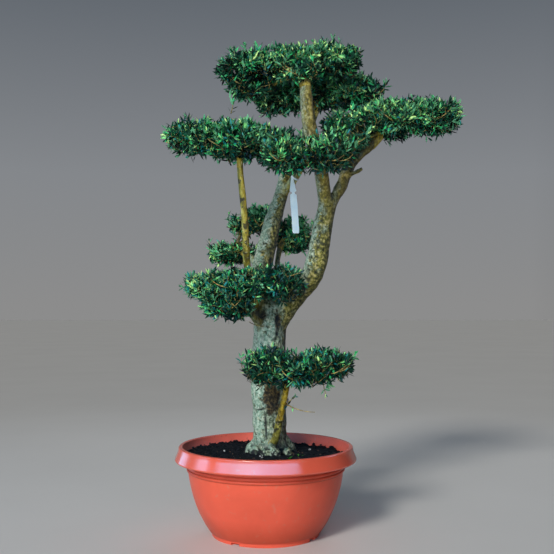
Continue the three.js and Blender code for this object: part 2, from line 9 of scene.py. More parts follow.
import bpy
import numpy as np
from bpy.props import FloatProperty, FloatVectorProperty, IntProperty, PointerProperty
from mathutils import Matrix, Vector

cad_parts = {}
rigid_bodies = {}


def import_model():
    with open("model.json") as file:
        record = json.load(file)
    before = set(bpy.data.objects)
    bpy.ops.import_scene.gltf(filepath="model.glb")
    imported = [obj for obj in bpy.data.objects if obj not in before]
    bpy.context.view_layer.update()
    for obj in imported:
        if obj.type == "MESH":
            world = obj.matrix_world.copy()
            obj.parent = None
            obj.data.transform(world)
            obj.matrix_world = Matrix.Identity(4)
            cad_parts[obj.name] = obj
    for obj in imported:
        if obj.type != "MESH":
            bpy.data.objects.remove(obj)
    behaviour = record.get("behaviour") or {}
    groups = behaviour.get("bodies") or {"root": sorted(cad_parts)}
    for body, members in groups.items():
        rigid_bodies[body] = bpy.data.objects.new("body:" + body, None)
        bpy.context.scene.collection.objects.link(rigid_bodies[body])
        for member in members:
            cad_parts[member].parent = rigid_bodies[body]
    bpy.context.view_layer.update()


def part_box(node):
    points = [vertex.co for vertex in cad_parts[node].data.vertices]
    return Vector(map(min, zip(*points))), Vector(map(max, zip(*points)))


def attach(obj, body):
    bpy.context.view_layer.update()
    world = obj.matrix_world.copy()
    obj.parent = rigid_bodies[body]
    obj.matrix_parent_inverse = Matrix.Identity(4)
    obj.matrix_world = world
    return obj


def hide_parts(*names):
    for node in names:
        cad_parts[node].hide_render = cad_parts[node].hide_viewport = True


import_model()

bl_info = {
    "name": "Olive bonsai",
    "version": (1, 0, 0),
    "blender": (4, 5, 0),
    "location": "View3D > Sidebar > Olive",
    "description": "Grows the bark, foliage, pot, soil and tag of an olive bonsai on its CAD model",
    "category": "Object",
}

MM = 0.001
UP = np.array([0.0, 0.0, 1.0])
GOLDEN_ANGLE = math.pi * (3 - math.sqrt(5))

# Heights and radii read from the CAD nodes
POT_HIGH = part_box("pot")[1]
RIM_RADIUS = POT_HIGH[0] / MM
POT_HEIGHT = POT_HIGH[2] / MM
SOIL_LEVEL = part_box("soil")[1][2] / MM

# Pot section, as heights and radii
CREST_RADIUS = 286
RIM_BOTTOM = 245
NECK_RADIUS = 258
FOOT_RADIUS = 177
FOOT_HEIGHT = 14
POT_WALL = 6
POT_FLOOR = 8
RIB_HEIGHTS = (215.4, 226)
RIB_WIDTH = 10
BODY_STEPS = 36
POT_SIDES = 180
NOTCH_ANGLES = (-123, -33, 57, 147)
NOTCH_WIDTH = 30
NOTCH_HEIGHT = 8

# How high the painted shade low on the pot's side reaches, from where to where its ribbed band
# is, and how dark the painted shade on that band is, as shares of the band's height and greys
LOW_SHADE_HEIGHT = 90
RIB_BAND = (200, 240)
RIB_SHADE = [
    (0.18, "#000000"), (0.24, "#b8b8b8"), (0.31, "#808080"), (0.43, "#808080"), (0.5, "#b0b0b0"),
    (0.57, "#808080"), (0.73, "#808080"), (0.8, "#c0c0c0"), (0.86, "#000000"),
]

# Trunk: how far its foot flares and up to where, and the height and share of its taper on top
FLARE_GROWTH = 6
FLARE_HEIGHT = 42
SHOULDER_HEIGHT = 70
SHOULDER_TAPER = 0.5

# Limbs, each along its own few points from inside its parent, with its radius at both ends.
# "stem" is the last stretch, which runs inside the mass that the limb carries. "tone" is the share
# of ochre moss, of pale lichen, of dark brown and of smooth young bark on it, "tone_above" the
# height from which it has that tone, and "node_height" where an old ring of bark stands out, with
# a painted shadow under it.
LIMBS = {
    "trunk": {
        "points": [
            (14, 60, 258.3), (12, 56, 400), (10, 50, 540), (14, 44, 671), (18, 40, 765),
        ],
        "radii": (55.5, 58.5), "flared": True, "tone": (0.2, 0.62, 0.1, 0.0),
    },
    "right_bough": {
        "parent": "trunk",
        "points": [
            (20, 42, 650), (56, 34, 724), (110, 20, 800), (144, 8, 838), (168, -4, 895),
            (181, -10, 965), (193, -20, 1037), (208, -36, 1104),
        ],
        "radii": (38, 31), "tone": (0.8, 0.15, 0.1, 0.0),
    },
    "upper_limb": {
        "parent": "right_bough",
        "points": [
            (200, -28, 1058), (190, -62, 1125), (179, -100, 1180), (160, -130, 1251),
            (141, -142, 1313), (131, -150, 1385), (126, -146, 1450), (110, -100, 1530),
        ],
        "radii": (24, 18), "carries": "top_front_mass", "stem": 92, "tone": (0.8, 0.2, 0.3, 0.3),
    },
    "right_upper_bough": {
        "parent": "right_bough",
        "points": [
            (208, -34, 1075), (232, -30, 1120), (255, -22, 1158), (268, -12, 1196),
            (287, 0, 1230), (312, 4, 1258), (350, 6, 1288), (410, 6, 1352),
        ],
        "radii": (22, 14), "carries": "right_mass", "stem": 78, "tone": (0.85, 0.05, 0.5, 0.2),
        "snag": {"points": [(262, -14, 1170), (288, -28, 1190), (320, -38, 1206)], "radii": (9, 7)},
    },
    "left_bough": {
        "parent": "trunk",
        "points": [
            (6, 46, 660), (-12, 42, 745), (-19, 46, 800), (-20, 52, 856), (-8, 60, 908),
            (16, 80, 1012), (46, 115, 1120), (76, 142, 1222), (107, 165, 1306),
            (146, 180, 1382), (170, 176, 1435), (188, 165, 1490),
        ],
        "radii": (39, 14), "carries": "top_rear_mass", "stem": 60, "tone": (0.72, 0.66, 0.3, 0.0),
    },
    "centre_bough": {
        "parent": "left_bough",
        "points": [
            (50, 118, 1130), (88, 90, 1178), (115, 50, 1218), (124, -50, 1242),
            (118, -140, 1236), (112, -210, 1224),
        ],
        "radii": (15, 10), "carries": "centre_mass", "stem": 62, "tone": (0.5, 0.4, 0.1, 0.6),
    },
    "thin_stem": {
        "parent": "trunk",
        "points": [
            (0, 40, 690), (-36, 6, 762), (-52, -24, 825), (-62, -62, 890), (-65, -105, 950),
            (-68, -128, 1025), (-73, -136, 1089), (-79, -143, 1152), (-83, -150, 1200),
            (-84, -154, 1262),
        ],
        "radii": (13, 10), "carries": "left_mass", "stem": 66, "tone": (0.45, 0.2, 0.0, 1.0),
    },
    "middle_left_bough": {
        "parent": "trunk",
        "points": [(2, 32, 655), (-34, -22, 708), (-70, -72, 752), (-96, -112, 796)],
        "radii": (15, 11), "carries": "middle_left_mass", "stem": 62, "tone": (0.4, 0.4, 0.3, 0.4),
    },
    "rear_right_bough": {
        "parent": "trunk",
        "points": [(20, 58, 690), (30, 92, 790), (39, 122, 890), (50, 156, 955), (76, 188, 1006)],
        "radii": (14, 9), "carries": "rear_right_mass", "stem": 66, "tone": (0.2, 0.2, 0.6, 0.4),
    },
    "rear_left_bough": {
        "parent": "left_bough",
        "points": [(-18, 56, 872), (-40, 98, 906), (-76, 146, 934), (-112, 184, 960)],
        "radii": (15, 9), "carries": "rear_left_mass", "stem": 64, "tone": (0.3, 0.5, 0.2, 0.4),
    },
    "lower_shoot": {
        "parent": "trunk",
        "points": [
            (18, 34, 284), (26, -18, 299), (32, -46, 322), (44, -80, 383), (57, -125, 452),
            (64, -152, 490), (72, -184, 552),
        ],
        "radii": (14, 9), "carries": "lower_front_mass", "stem": 60, "tone": (0.95, 0.0, 0.0, 1.0),
        "node_height": 384, "tone_above": 298,
    },
}

# Foliage masses: round lobes as a centre and half sizes, and the furthest tips that sprigs reach.
# "light" is painted light or shade on each lobe's leaves, a share gives how many get a painted
# reflection of blue sky, and "sprigs" are single twigs, from where to where and with how many pairs
# of leaves.
MASSES = {
    "top_front_mass": {
        "lobes": [
            (-40, -66, 1532, 128, 120, 64), (84, -86, 1548, 124, 112, 60),
            (206, -48, 1560, 116, 112, 72), (-52, -30, 1482, 84, 90, 48),
            (112, -150, 1500, 80, 60, 46),
        ],
        "tips": [
            (-167, -60, 1520), (-76, -90, 1614), (185, -60, 1644), (322, -60, 1602),
            (20, -150, 1480),
        ],
        "light": (-0.1, -0.1, -0.1, 0.1, 0.1),
    },
    "top_rear_mass": {
        "lobes": [
            (54, 130, 1486, 108, 108, 72), (186, 150, 1510, 130, 118, 80),
            (306, 118, 1500, 108, 112, 70),
        ],
        "tips": [(432, 140, 1530), (-38, 120, 1470), (400, 60, 1484)],
    },
    "right_mass": {
        "lobes": [
            (290, -8, 1354, 108, 108, 64), (420, 0, 1382, 136, 126, 76),
            (552, 0, 1386, 110, 102, 72), (262, -84, 1288, 74, 66, 50),
        ],
        "tips": [(672, 0, 1444), (650, -30, 1372), (560, 40, 1464)],
    },
    "left_mass": {
        "lobes": [
            (-214, -150, 1288, 112, 104, 64), (-92, -158, 1275, 122, 114, 78),
            (22, -142, 1268, 84, 84, 64),
        ],
        "tips": [(-326, -150, 1296), (-290, -120, 1226), (-60, -150, 1356)],
        "sprigs": [((-112, -150, 1362), (-104, -150, 1400), 3)], "sky_reflection_share": 0.2,
    },
    "centre_mass": {
        "lobes": [(70, -236, 1214, 92, 76, 60), (182, -228, 1222, 92, 74, 66)],
        "light": (-0.5, -0.5),
        "tips": [(259, -220, 1268), (112, -230, 1152)],
    },
    "middle_left_mass": {
        "lobes": [
            (-170, -96, 814, 98, 90, 54), (-74, -126, 824, 104, 92, 62),
            (44, -134, 824, 88, 78, 66), (-120, -116, 760, 92, 86, 66),
        ],
        "light": (0.15, 0.15, -0.85, -0.15), "sky_reflection_share": 0.42,
        "sprigs": [
            ((-8, -18, 684), (-54, -100, 700), 0), ((30, -170, 836), (106, -200, 853), 1),
        ],
        "tips": [(-288, -80, 814), (-262, -110, 850), (124, -120, 866), (-200, -90, 726)],
    },
    "rear_left_mass": {
        "lobes": [
            (-122, 198, 940, 88, 80, 52), (-90, 202, 1040, 42, 46, 38),
            (-28, 206, 1058, 52, 52, 62),
        ],
        "tips": [(-208, 196, 944)],
    },
    "rear_right_mass": {
        "lobes": [(96, 208, 1006, 74, 78, 76)],
        "tips": [(150, 212, 1080)],
    },
    "lower_front_mass": {
        "lobes": [
            (14, -188, 562, 90, 84, 70), (108, -196, 554, 94, 84, 64),
            (190, -186, 570, 90, 78, 58),
        ],
        "light": (-0.7, -0.65, -0.6), "sky_reflection_share": 0.3,
        "sprigs": [
            ((58, -112, 442), (154, -160, 418), 0), ((66, -122, 440), (92, -150, 466), 2),
            ((66, -122, 436), (84, -146, 430), 1), ((178, -190, 516), (186, -190, 478), 2),
        ],
        "tips": [(292, -190, 594), (196, -190, 488), (-82, -190, 578)],
    },
}

# How growth runs inside a mass, in millimetres or as shares of a lobe's size, how far leaves,
# shoots and runners keep from the limbs, and the tone of the bark on the boughs inside
LEAF_REACH = 32
LEAF_ROOM = 2.5
SHOOT_ROOM = 4
RUNNER_ROOM = 5
RUNNER_DEPTH = 18
HUB_DROP = 0.22
LINK_RADII = (6.5, 4.0)
BRANCHLETS = 13
BRANCHLET_REACH = 0.56
BRANCHLET_RADII = (2.9, 1.6)
TWIG_RADII = (1.5, 1.0)
SHOOT_RADII = (0.8, 0.5)
SHOOT_LENGTH = 36
SPRAY_SPACING = 58
SPRAY_DEPTH = 66
PULL = 0.14
STRAY = 32
STRAY_SHARE = 0.2
CLUMP = 36
CLUMP_SINK = 16
UNDERSIDE_SHARE = 0.75
TIP_PAIRS = 8
RUNNERS = 9
RUNNER_RADII = (2.2, 1.3)
RUNNER_TIP = 34
RUNNER_PAIRS = 5
TIP_STEM_RADII = (2.0, 1.2)
TIP_SHOOT_RADII = (1.2, 0.7)
TIP_SHOOT_LENGTH = 80
SPRIG_RADII = (1.8, 1.0)
LEAF_RISE = 0.7
LEAF_CURL = 0.08
BRANCHLET_TONE = (0.8, 0.1, 0.1, 0.8)

# Steps along, in millimetres, and sides round of the tubes that limbs are made of
LIMB_TUBE = (4, 48)
COLLAR_TUBE = (4, 32)
SNAG_TUBE = (3, 24)
ROOT_TUBE = (5, 20)
STEM_TUBE = (5, 20)

# Collars: how far a limb runs on into its parent, and how wide their joint is smoothed
COLLAR_OVERLAP = 12
COLLAR_BLEND = 20

# Brightness of the leaves, as painted light and shade: what clumps add, lighter on them and darker
# in the hollows between, what the way to a shoot's tip adds, its random spread, the steps from one
# tint to the next, the share and tints of leaves with a painted reflection of blue sky, and the
# tints with a silver underside
CLUMP_LIGHT = 1.3
TIP_LIGHT = 1.7
LEAF_CONTRAST = 0.74
TINT_STEPS = (-0.75, -0.15, 0.45, 1.05, 1.7)
SKY_REFLECTION_SHARE = 0.12
SKY_GLOSS, SHADED_GLOSS = 6, 7
SILVER_BACKED = (3, 4, 5, 6)

# Layers of sprays in each lobe: depth as a share, spacing as a multiple of the shoots' own, and
# pairs of leaves on each shoot
LAYERS = [(0.0, 1.1, 4), (0.14, 1.5, 4), (0.36, 2.0, 4)]

# Roots that spread from the trunk's foot into the soil: direction in degrees, radius and top
# height. Between them it is hollow, with painted shade, up to FOOT_HOLLOW from the trunk's axis.
TRUNK_FOOT = (14, 60)
FOOT_HOLLOW = 78
ROOT_REACH = 70
ROOTS = [
    (196, 20, 296), (229, 22, 286), (258, 16, 278), (285, 21, 284), (325, 18, 290),
    (5, 20, 300), (46, 17, 284), (88, 21, 294), (128, 18, 284), (163, 19, 294),
]

# Marks on the bark, in millimetres: knots and creases with painted shade in their pits and grooves,
# some creases with a fold of bark over them, and pale and dark brown patches
KNOTS = [
    {"at": (-10, -4, 648), "size": 15, "height": 3.5, "pit": 4},
    {"at": (30, -8, 636), "size": 12, "height": 3, "pit": 3},
    {"at": (-36, 15, 560), "size": 14, "height": 3, "pit": 0},
    {"at": (58, 20, 560), "size": 16, "height": 3, "pit": 3},
    {"at": (120, -22, 782), "size": 13, "height": 4, "pit": 2},
    {"at": (176, -44, 962), "size": 13, "height": 3, "pit": 2},
    {"at": (40, 104, 520), "size": 20, "height": 4, "pit": 4},
    {"at": (-30, 96, 640), "size": 16, "height": 4, "pit": 3},
    {"at": (-22, 20, 880), "size": 12, "height": 3, "pit": 2},
]
CREASES = [
    {"from": (40, -6, 730), "to": (36, -8, 650), "width": 5, "depth": 7, "fold": 0},
    {"from": (-34, 20, 403), "to": (-6, 1, 408), "width": 4, "depth": 5, "fold": 4},
    {"from": (-4, 1, 396), "to": (2, 2, 306), "width": 3.5, "depth": 3, "fold": 0},
    {"from": (10, -8, 640), "to": (34, -8, 634), "width": 4, "depth": 4, "fold": 2},
    {"from": (44, 112, 470), "to": (20, 116, 380), "width": 5, "depth": 5, "fold": 0},
]
PALE_PATCHES = [
    # Partly painted light: this pale crust also brightens the trunk where the middle left mass
    # shades it
    {"at": (8, -8, 664), "half": (44, 26, 44)},
    {"at": (-14, 2, 560), "half": (30, 24, 60)},
]
BROWN_PATCHES = [
    {"at": (20, -4, 442), "half": (30, 30, 54)},
    {"at": (-26, 2, 716), "half": (26, 30, 26)},
    {"at": (38, 0, 690), "half": (11, 20, 44)},
    {"at": (70, 26, 640), "half": (14, 22, 40)},
    {"at": (-10, 116, 500), "half": (30, 30, 50)},
]

# Soil: its radius at the top, the bank at the back left, and what lies on it
SOIL_RADIUS = 265
SOIL_BANK = 8
SOIL_RINGS = 72
SOIL_SIDES = 216
SOIL_SEED = 7
CRUMBS = 420
CHIPS = 150
PEBBLES = [
    (-19, -49, 0), (-12, -85, 0), (96, -120, 0), (-140, 60, 0), (-60, 170, 0), (150, 90, 0),
    (40, 196, 0), (-190, -70, 0),
]
WEEDS = [(110, -13, 0), (75, -86, 0)]
WEED_LEAVES = 8

# Tag hung on the centre bough by a closed strap: an arrow head, a neck and a long plate
TAG_HANGS_AT = 93
TAG_LENGTH = 195
TAG_WIDTH = 23
TAG_LEAN = 0.07
HEAD_LENGTH = 50
NECK_LENGTH = 5
NECK_WIDTH = 10
NECK_SLOPE = 4
STRAP_WIDTH = 6
TAG_THICKNESS = 0.8
STRAP_SIDES = 48

# Camera, from the photograph's perspective: its eye, lens and slight upward tilt
EYE = (0.0, -2.826, 0.754)
LENS_MM = 54.99
TILT_DEG = 1.896
TURN_DEG = -0.75

# Sun: where it stands, from the front left and above, how wide its soft disc is, and its colour
SUN_FROM = (-0.36, -0.765, 0.536)
SUN_SPREAD_DEG = 12
SUN_COLOUR = "#fff7ea"

# Softboxes: bearing in degrees round from the front, distance and height of the middle in metres,
# width and height, radiance, colour, and whether it is for mirrored light or for plain light. The
# plain ones have a grid that keeps their beam off the floor near them.
SOFTBOXES = [
    ("front_softbox", -36, 3.6, 1.5, (3.6, 0.8), 7.5, "#80c8ff", "mirrored"),
    ("side_softbox", 15, 3.6, 1.52, (3.4, 0.8), 7.0, "#80c8ff", "mirrored"),
    ("left_softbox", -84, 3.6, 1.05, (1.2, 0.8), 6.0, "#9cd0ff", "mirrored"),
    ("low_softbox", -124, 3.6, 0.5, (1.2, 0.8), 3.5, "#9cd0ff", "mirrored"),
    ("fill_softbox", -24, 4.5, 1.1, (3.5, 1.3), 2.1, "#f4f9ff", "plain"),
    ("back_softbox", 165, 4.2, 2.8, (2.6, 1.6), 0.6, "#f4f9ff", "plain"),
    ("crest_softbox", 105, 3.6, 2.6, (2.2, 0.8), 6.0, "#9cd0ff", "mirrored"),
]
GRID_DEG = 90
LAMP_AIM = (0, 0, 0.8)

# Studio: how far the floor reaches in metres, and the backdrop's colours from low to high
FLOOR_REACH = 40.0
BACKDROP = [(0.0, "#8c8c8c"), (0.3, "#84878b"), (0.75, "#5c636b"), (1.0, "#565e66")]


def to_linear(code):
    """sRGB hex colour to linear red, green, blue and alpha, by the standard two-part curve."""
    shares = np.array([int(code[i : i + 2], 16) for i in (1, 3, 5)]) / 255
    linear = np.where(shares <= 0.04045, shares / 12.92, ((shares + 0.055) / 1.055) ** 2.4)
    return (*linear.tolist(), 1.0)


def unit(vectors):
    """Vectors at length one."""
    return vectors / np.maximum(np.linalg.norm(vectors, axis=-1, keepdims=True), 1e-12)


def lattice_noise(points, cell, seed):
    """Smooth random field from -1 to 1.

    Random values at the corners of a cubic lattice of that cell are blended by
    6t^5 - 15t^4 + 10t^3.
    """
    scaled = points / cell
    corner = np.floor(scaled).astype(np.int64)
    part = scaled - corner
    part = part**3 * (part * (part * 6 - 15) + 10)
    total = np.zeros(points.shape[:-1])
    for step in itertools.product((0, 1), repeat=3):
        at = corner + np.array(step)
        mixed = at[..., 0] * 73856093 ^ at[..., 1] * 19349663 ^ at[..., 2] * 83492791
        mixed ^= seed * 2654435
        mixed = (mixed ^ (mixed >> 13)) * 1274126177
        value = ((mixed ^ (mixed >> 16)) & 0xFFFF) / 32767.5 - 1
        weight = np.where(step, part, 1 - part).prod(axis=-1)
        total += weight * value
    return total


def fractal_noise(points, cell, octaves, seed):
    """Sum of lattice noises, each of half the cell and half the height of the one before."""
    return sum(lattice_noise(points, cell / 2**i, seed + i) / 2**i for i in range(octaves))


# Meshes


def mesh_piece(name, points, faces, materials, slots=None, smooth=True, replaces=()):
    """A finished mesh object at the origin, from arrays of points and faces, riding on the body."""
    mesh = bpy.data.meshes.new(name)
    groups = faces if isinstance(faces, list) else [faces]
    rows = list(itertools.chain.from_iterable(group.tolist() for group in groups))
    mesh.from_pydata(points.reshape(-1, 3).tolist(), [], rows)
    for material in materials:
        mesh.materials.append(material)
    if slots is not None:
        mesh.polygons.foreach_set("material_index", np.asarray(slots, dtype=np.int32))
    mesh.polygons.foreach_set("use_smooth", np.full(len(rows), smooth))
    mesh.update()
    if mesh.validate():
        raise RuntimeError(f"{name} has faces that aren't valid")
    piece = bpy.data.objects.new(name, mesh)
    bpy.context.collection.objects.link(piece)
    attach(piece, "root")
    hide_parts(*replaces)
    return piece


def grid_faces(rows, columns):
    """Quads of a grid of points, rows along and columns round, wound to face outwards."""
    row, column = np.indices((rows - 1, columns))
    a = (row * columns + column).ravel()
    b = (row * columns + (column + 1) % columns).ravel()
    return np.stack([a, b, b + columns, a + columns], axis=1)


def fan_faces(ring, centre, outward):
    """Triangles from a ring of point numbers to a centre, in the ring's order or against it."""
    after = np.roll(ring, -1)
    first, second = (ring, after) if outward else (after, ring)
    return np.stack([first, second, np.full(len(ring), centre)], axis=1)


def closed_tube(rings):
    """Rings of points, by ring, point and axis, joined into a tube with a fan at each end."""
    count, sides = rings.shape[:2]
    points = np.concatenate([rings.reshape(-1, 3), rings[:1].mean(axis=1), rings[-1:].mean(axis=1)])
    body = grid_faces(count, sides)
    low = fan_faces(np.arange(sides), count * sides, False)
    high = fan_faces(np.arange(sides) + (count - 1) * sides, count * sides + 1, True)
    return points, [body, low, high]


def join(parts):
    """Several point and face arrays as one."""
    points = np.concatenate([part[0] for part in parts])
    starts = np.cumsum([0] + [len(part[0]) for part in parts[:-1]])
    faces = [group + start for start, part in zip(starts, parts) for group in part[1]]
    return points, faces


def voxel_union(points, faces, voxel):
    """The outer skin of overlapping closed shapes, as quads about one voxel wide."""
    mesh = bpy.data.meshes.new("union")
    rows = list(itertools.chain.from_iterable(group.tolist() for group in faces))
    mesh.from_pydata(points.tolist(), [], rows)
    source = bpy.data.objects.new("union", mesh)
    bpy.context.collection.objects.link(source)
    remesh = source.modifiers.new("skin", "REMESH")
    remesh.mode = "VOXEL"
    remesh.voxel_size = voxel
    solved = source.evaluated_get(bpy.context.evaluated_depsgraph_get())
    made = bpy.data.meshes.new_from_object(solved)
    corners = np.empty(len(made.loops), dtype=np.int32)
    made.loops.foreach_get("vertex_index", corners)
    if len(corners) != 4 * len(made.polygons):
        raise RuntimeError("the skin isn't made of quads alone")
    skin = np.empty(3 * len(made.vertices), dtype=np.float32)
    made.vertices.foreach_get("co", skin)
    bpy.data.objects.remove(source)
    bpy.data.meshes.remove(mesh)
    bpy.data.meshes.remove(made)
    return skin.reshape(-1, 3).astype(float), corners.reshape(-1, 4)


def gather(index, values, count):
    """Sum of the values that fall to each index, column by column."""
    return np.stack([np.bincount(index, column, count) for column in values.T], axis=1)


def relaxed(points, quads, weight, rounds):
    """Points drawn towards the mean of their neighbours, by their weight, in each round."""
    edges = np.concatenate([quads[:, [i, (i + 1) % 4]] for i in range(4)])
    edges = np.concatenate([edges, edges[:, ::-1]])
    count = np.bincount(edges[:, 0], minlength=len(points))[:, None]
    for _ in range(rounds):
        mean = gather(edges[:, 0], points[edges[:, 1]], len(points)) / count
        points = points + weight[:, None] * (mean - points)
    return points


def point_normals(points, quads):
    """Outward normal at each point: the sum of its quads' cross products of diagonals."""
    a, b, c, d = (points[quads[:, i]] for i in range(4))
    cross = np.cross(c - a, d - b)
    return unit(sum(gather(quads[:, i], cross, len(points)) for i in range(4)))


# Limbs


def smooth_curve(points, steps=24):
    """Centripetal Catmull-Rom curve through the points, as closely spaced samples.

    Each stretch is a cubic whose end slopes weigh the neighbouring chords by the square root of
    their lengths; the ends are mirrored to give the first and last slope.
    """
    path = np.concatenate([2 * points[:1] - points[1:2], points, 2 * points[-1:] - points[-2:-1]])
    before, start, end, after = path[:-3], path[1:-2], path[2:-1], path[3:]
    gaps = [
        np.linalg.norm(b - a, axis=1, keepdims=True) ** 0.5
        for a, b in ((before, start), (start, end), (end, after))
    ]
    first, middle, last = gaps
    slope_in = (start - before) / first - (end - before) / (first + middle) + (end - start) / middle
    slope_out = (end - start) / middle - (after - start) / (middle + last) + (after - end) / last
    slope_in, slope_out = slope_in * middle, slope_out * middle
    t = np.linspace(0, 1, steps, endpoint=False)[None, :, None]
    start, end, slope_in, slope_out = (a[:, None] for a in (start, end, slope_in, slope_out))
    square = 3 * (end - start) - 2 * slope_in - slope_out
    cube = 2 * (start - end) + slope_in + slope_out
    samples = start + slope_in * t + square * t**2 + cube * t**3
    return np.concatenate([samples.reshape(-1, 3), points[-1:]])


class Limb:
    """A smooth curve with a radius at each distance along it, in metres."""

    def __init__(self, name, points, radii, flared=False):
        self.name = name
        self.samples = smooth_curve(np.array(points, dtype=float) * MM)
        steps = np.linalg.norm(np.diff(self.samples, axis=0), axis=1)
        self.distances = np.concatenate([[0], np.cumsum(steps)])
        self.length = self.distances[-1]
        self.radii = np.array(radii) * MM
        self.flared = flared
        self.phase = len(name)
        span = self.samples[-1] - self.samples[0]
        runs_back = abs(span[1]) > 0.5 * np.linalg.norm(span)
        self.reference = np.array([1.0, 0, 0]) if runs_back else np.array([0, 1.0, 0])

    def point(self, distance):
        """Place at each distance along the curve, by straight steps between its samples."""
        axes = [np.interp(distance, self.distances, axis) for axis in self.samples.T]
        return np.stack(axes, axis=-1)

    def tangent(self, distance):
        """Direction of the curve at each distance: from 2 mm before it to 2 mm after it."""
        step = 2 * MM
        return unit(self.point(distance + step) - self.point(distance - step))

    def radius(self, distance, angle):
        """Straight taper times a slow two-lobed wave; the trunk adds its flare and shoulder."""
        share = np.clip(distance / self.length, 0, 1)
        plain = self.radii[0] + (self.radii[1] - self.radii[0]) * share
        wavy = plain * (1 + 0.04 * np.sin(2 * angle + distance / (70 * MM) + self.phase))
        if not self.flared:
            return wavy
        flare = FLARE_GROWTH * MM * np.exp(-((np.maximum(distance, 0) / (FLARE_HEIGHT * MM)) ** 2))
        t = np.clip((distance - self.length) / (SHOULDER_HEIGHT * MM) + 1, 0, 1)
        return wavy * (1 - SHOULDER_TAPER * t * t * (3 - 2 * t)) + flare

    def frame_at(self, distance):
        """Two directions across the limb at each distance."""
        tangent = self.tangent(distance)
        if self.flared:
            blend = np.clip(distance / (30 * MM), 0, 1)[..., None]
            tangent = unit(UP * (1 - blend) + tangent * blend)
        across = unit(np.cross(self.reference, tangent))
        return across, np.cross(tangent, across)

    def rings(self, start, end, tube):
        """Sections from start to end: centre + radius (cos a across + sin a along) at angle a."""
        step, sides = tube
        count = max(2, math.ceil((end - start) / (step * MM))) + 1
        distance = np.linspace(start, end, count)[:, None]
        angle = np.linspace(0, 2 * math.pi, sides, endpoint=False)[None, :]
        across, along = (a[:, None, :] if a.ndim == 2 else a for a in self.frame_at(distance[:, 0]))
        radius = self.radius(distance, angle)[..., None]
        turn = np.cos(angle)[..., None] * across + np.sin(angle)[..., None] * along
        return self.point(distance[:, 0])[:, None, :] + radius * turn

    def beads(self, start, end, step=6 * MM):
        """Points along a stretch, with the plain radius at each."""
        distance = np.linspace(start, end, max(2, math.ceil((end - start) / step)) + 1)
        return self.point(distance), self.radius(distance, 0.0)


def clearance_to(points, beads):
    """Distance from each point to the nearest of a limb's round sections, negative inside."""
    centres, radii = beads
    squares = (points**2).sum(1)[:, None] - 2 * points @ centres.T + (centres**2).sum(1)[None, :]
    return (np.sqrt(np.maximum(squares, 0)) - radii[None, :]).min(axis=1)


def collar_end(limb, neighbours):
    """Distance along a limb at which its section has left its parent and the limbs beside it."""
    distance = np.arange(0, limb.length, 4 * MM)
    gap = np.full(len(distance), np.inf)
    for other in neighbours:
        centres, radii = other.beads(0, other.length)
        gap = np.minimum(gap, clearance_to(limb.point(distance), (centres, radii * 1.06)))
    return distance[np.argmax(gap > limb.radius(distance, 0.0))]


def grown_limbs():
    """Every limb with its own stretch: from its collar on the parent to the stem in its mass."""
    limbs = {
        name: Limb(name, shape["points"], shape["radii"], shape.get("flared", False))
        for name, shape in LIMBS.items()
    }
    stretches = {}
    for name, shape in LIMBS.items():
        parent = shape.get("parent")
        others = [limbs[n] for n, s in LIMBS.items() if n != name and s.get("parent") == parent]
        start = collar_end(limbs[name], [limbs[parent], *others]) if parent else -8 * MM
        stretches[name] = (limbs[name], start, limbs[name].length - shape.get("stem", 0) * MM)
    return stretches


def knot_marks(points, knot):
    """A knot's relief, a round ridge with a sunken middle, and painted shade in its pit and round
    its edge.
    """
    apart = np.linalg.norm((points / MM - np.array(knot["at"])) * np.array([1, 1, 0.7]), axis=1)
    size = knot["size"]
    apart = apart + 0.6 * size * lattice_noise(points, 1.3 * size * MM, 10)
    ridge = np.exp(-(((apart - size) / (0.45 * size)) ** 2))
    middle = np.exp(-((apart / (0.5 * size)) ** 2))
    gap = np.exp(-(((apart - 1.6 * size) / (0.2 * size)) ** 2))
    broken = np.clip(0.5 + 1.5 * lattice_noise(points, 12 * MM, 11), 0, 1)
    # Painted shade in the broken gap round the knot and, where it has a pit, in its middle
    dark = 0.55 * gap * broken + 0.5 * middle * (knot["pit"] > 0)
    return knot["height"] * ridge - knot["pit"] * middle, dark


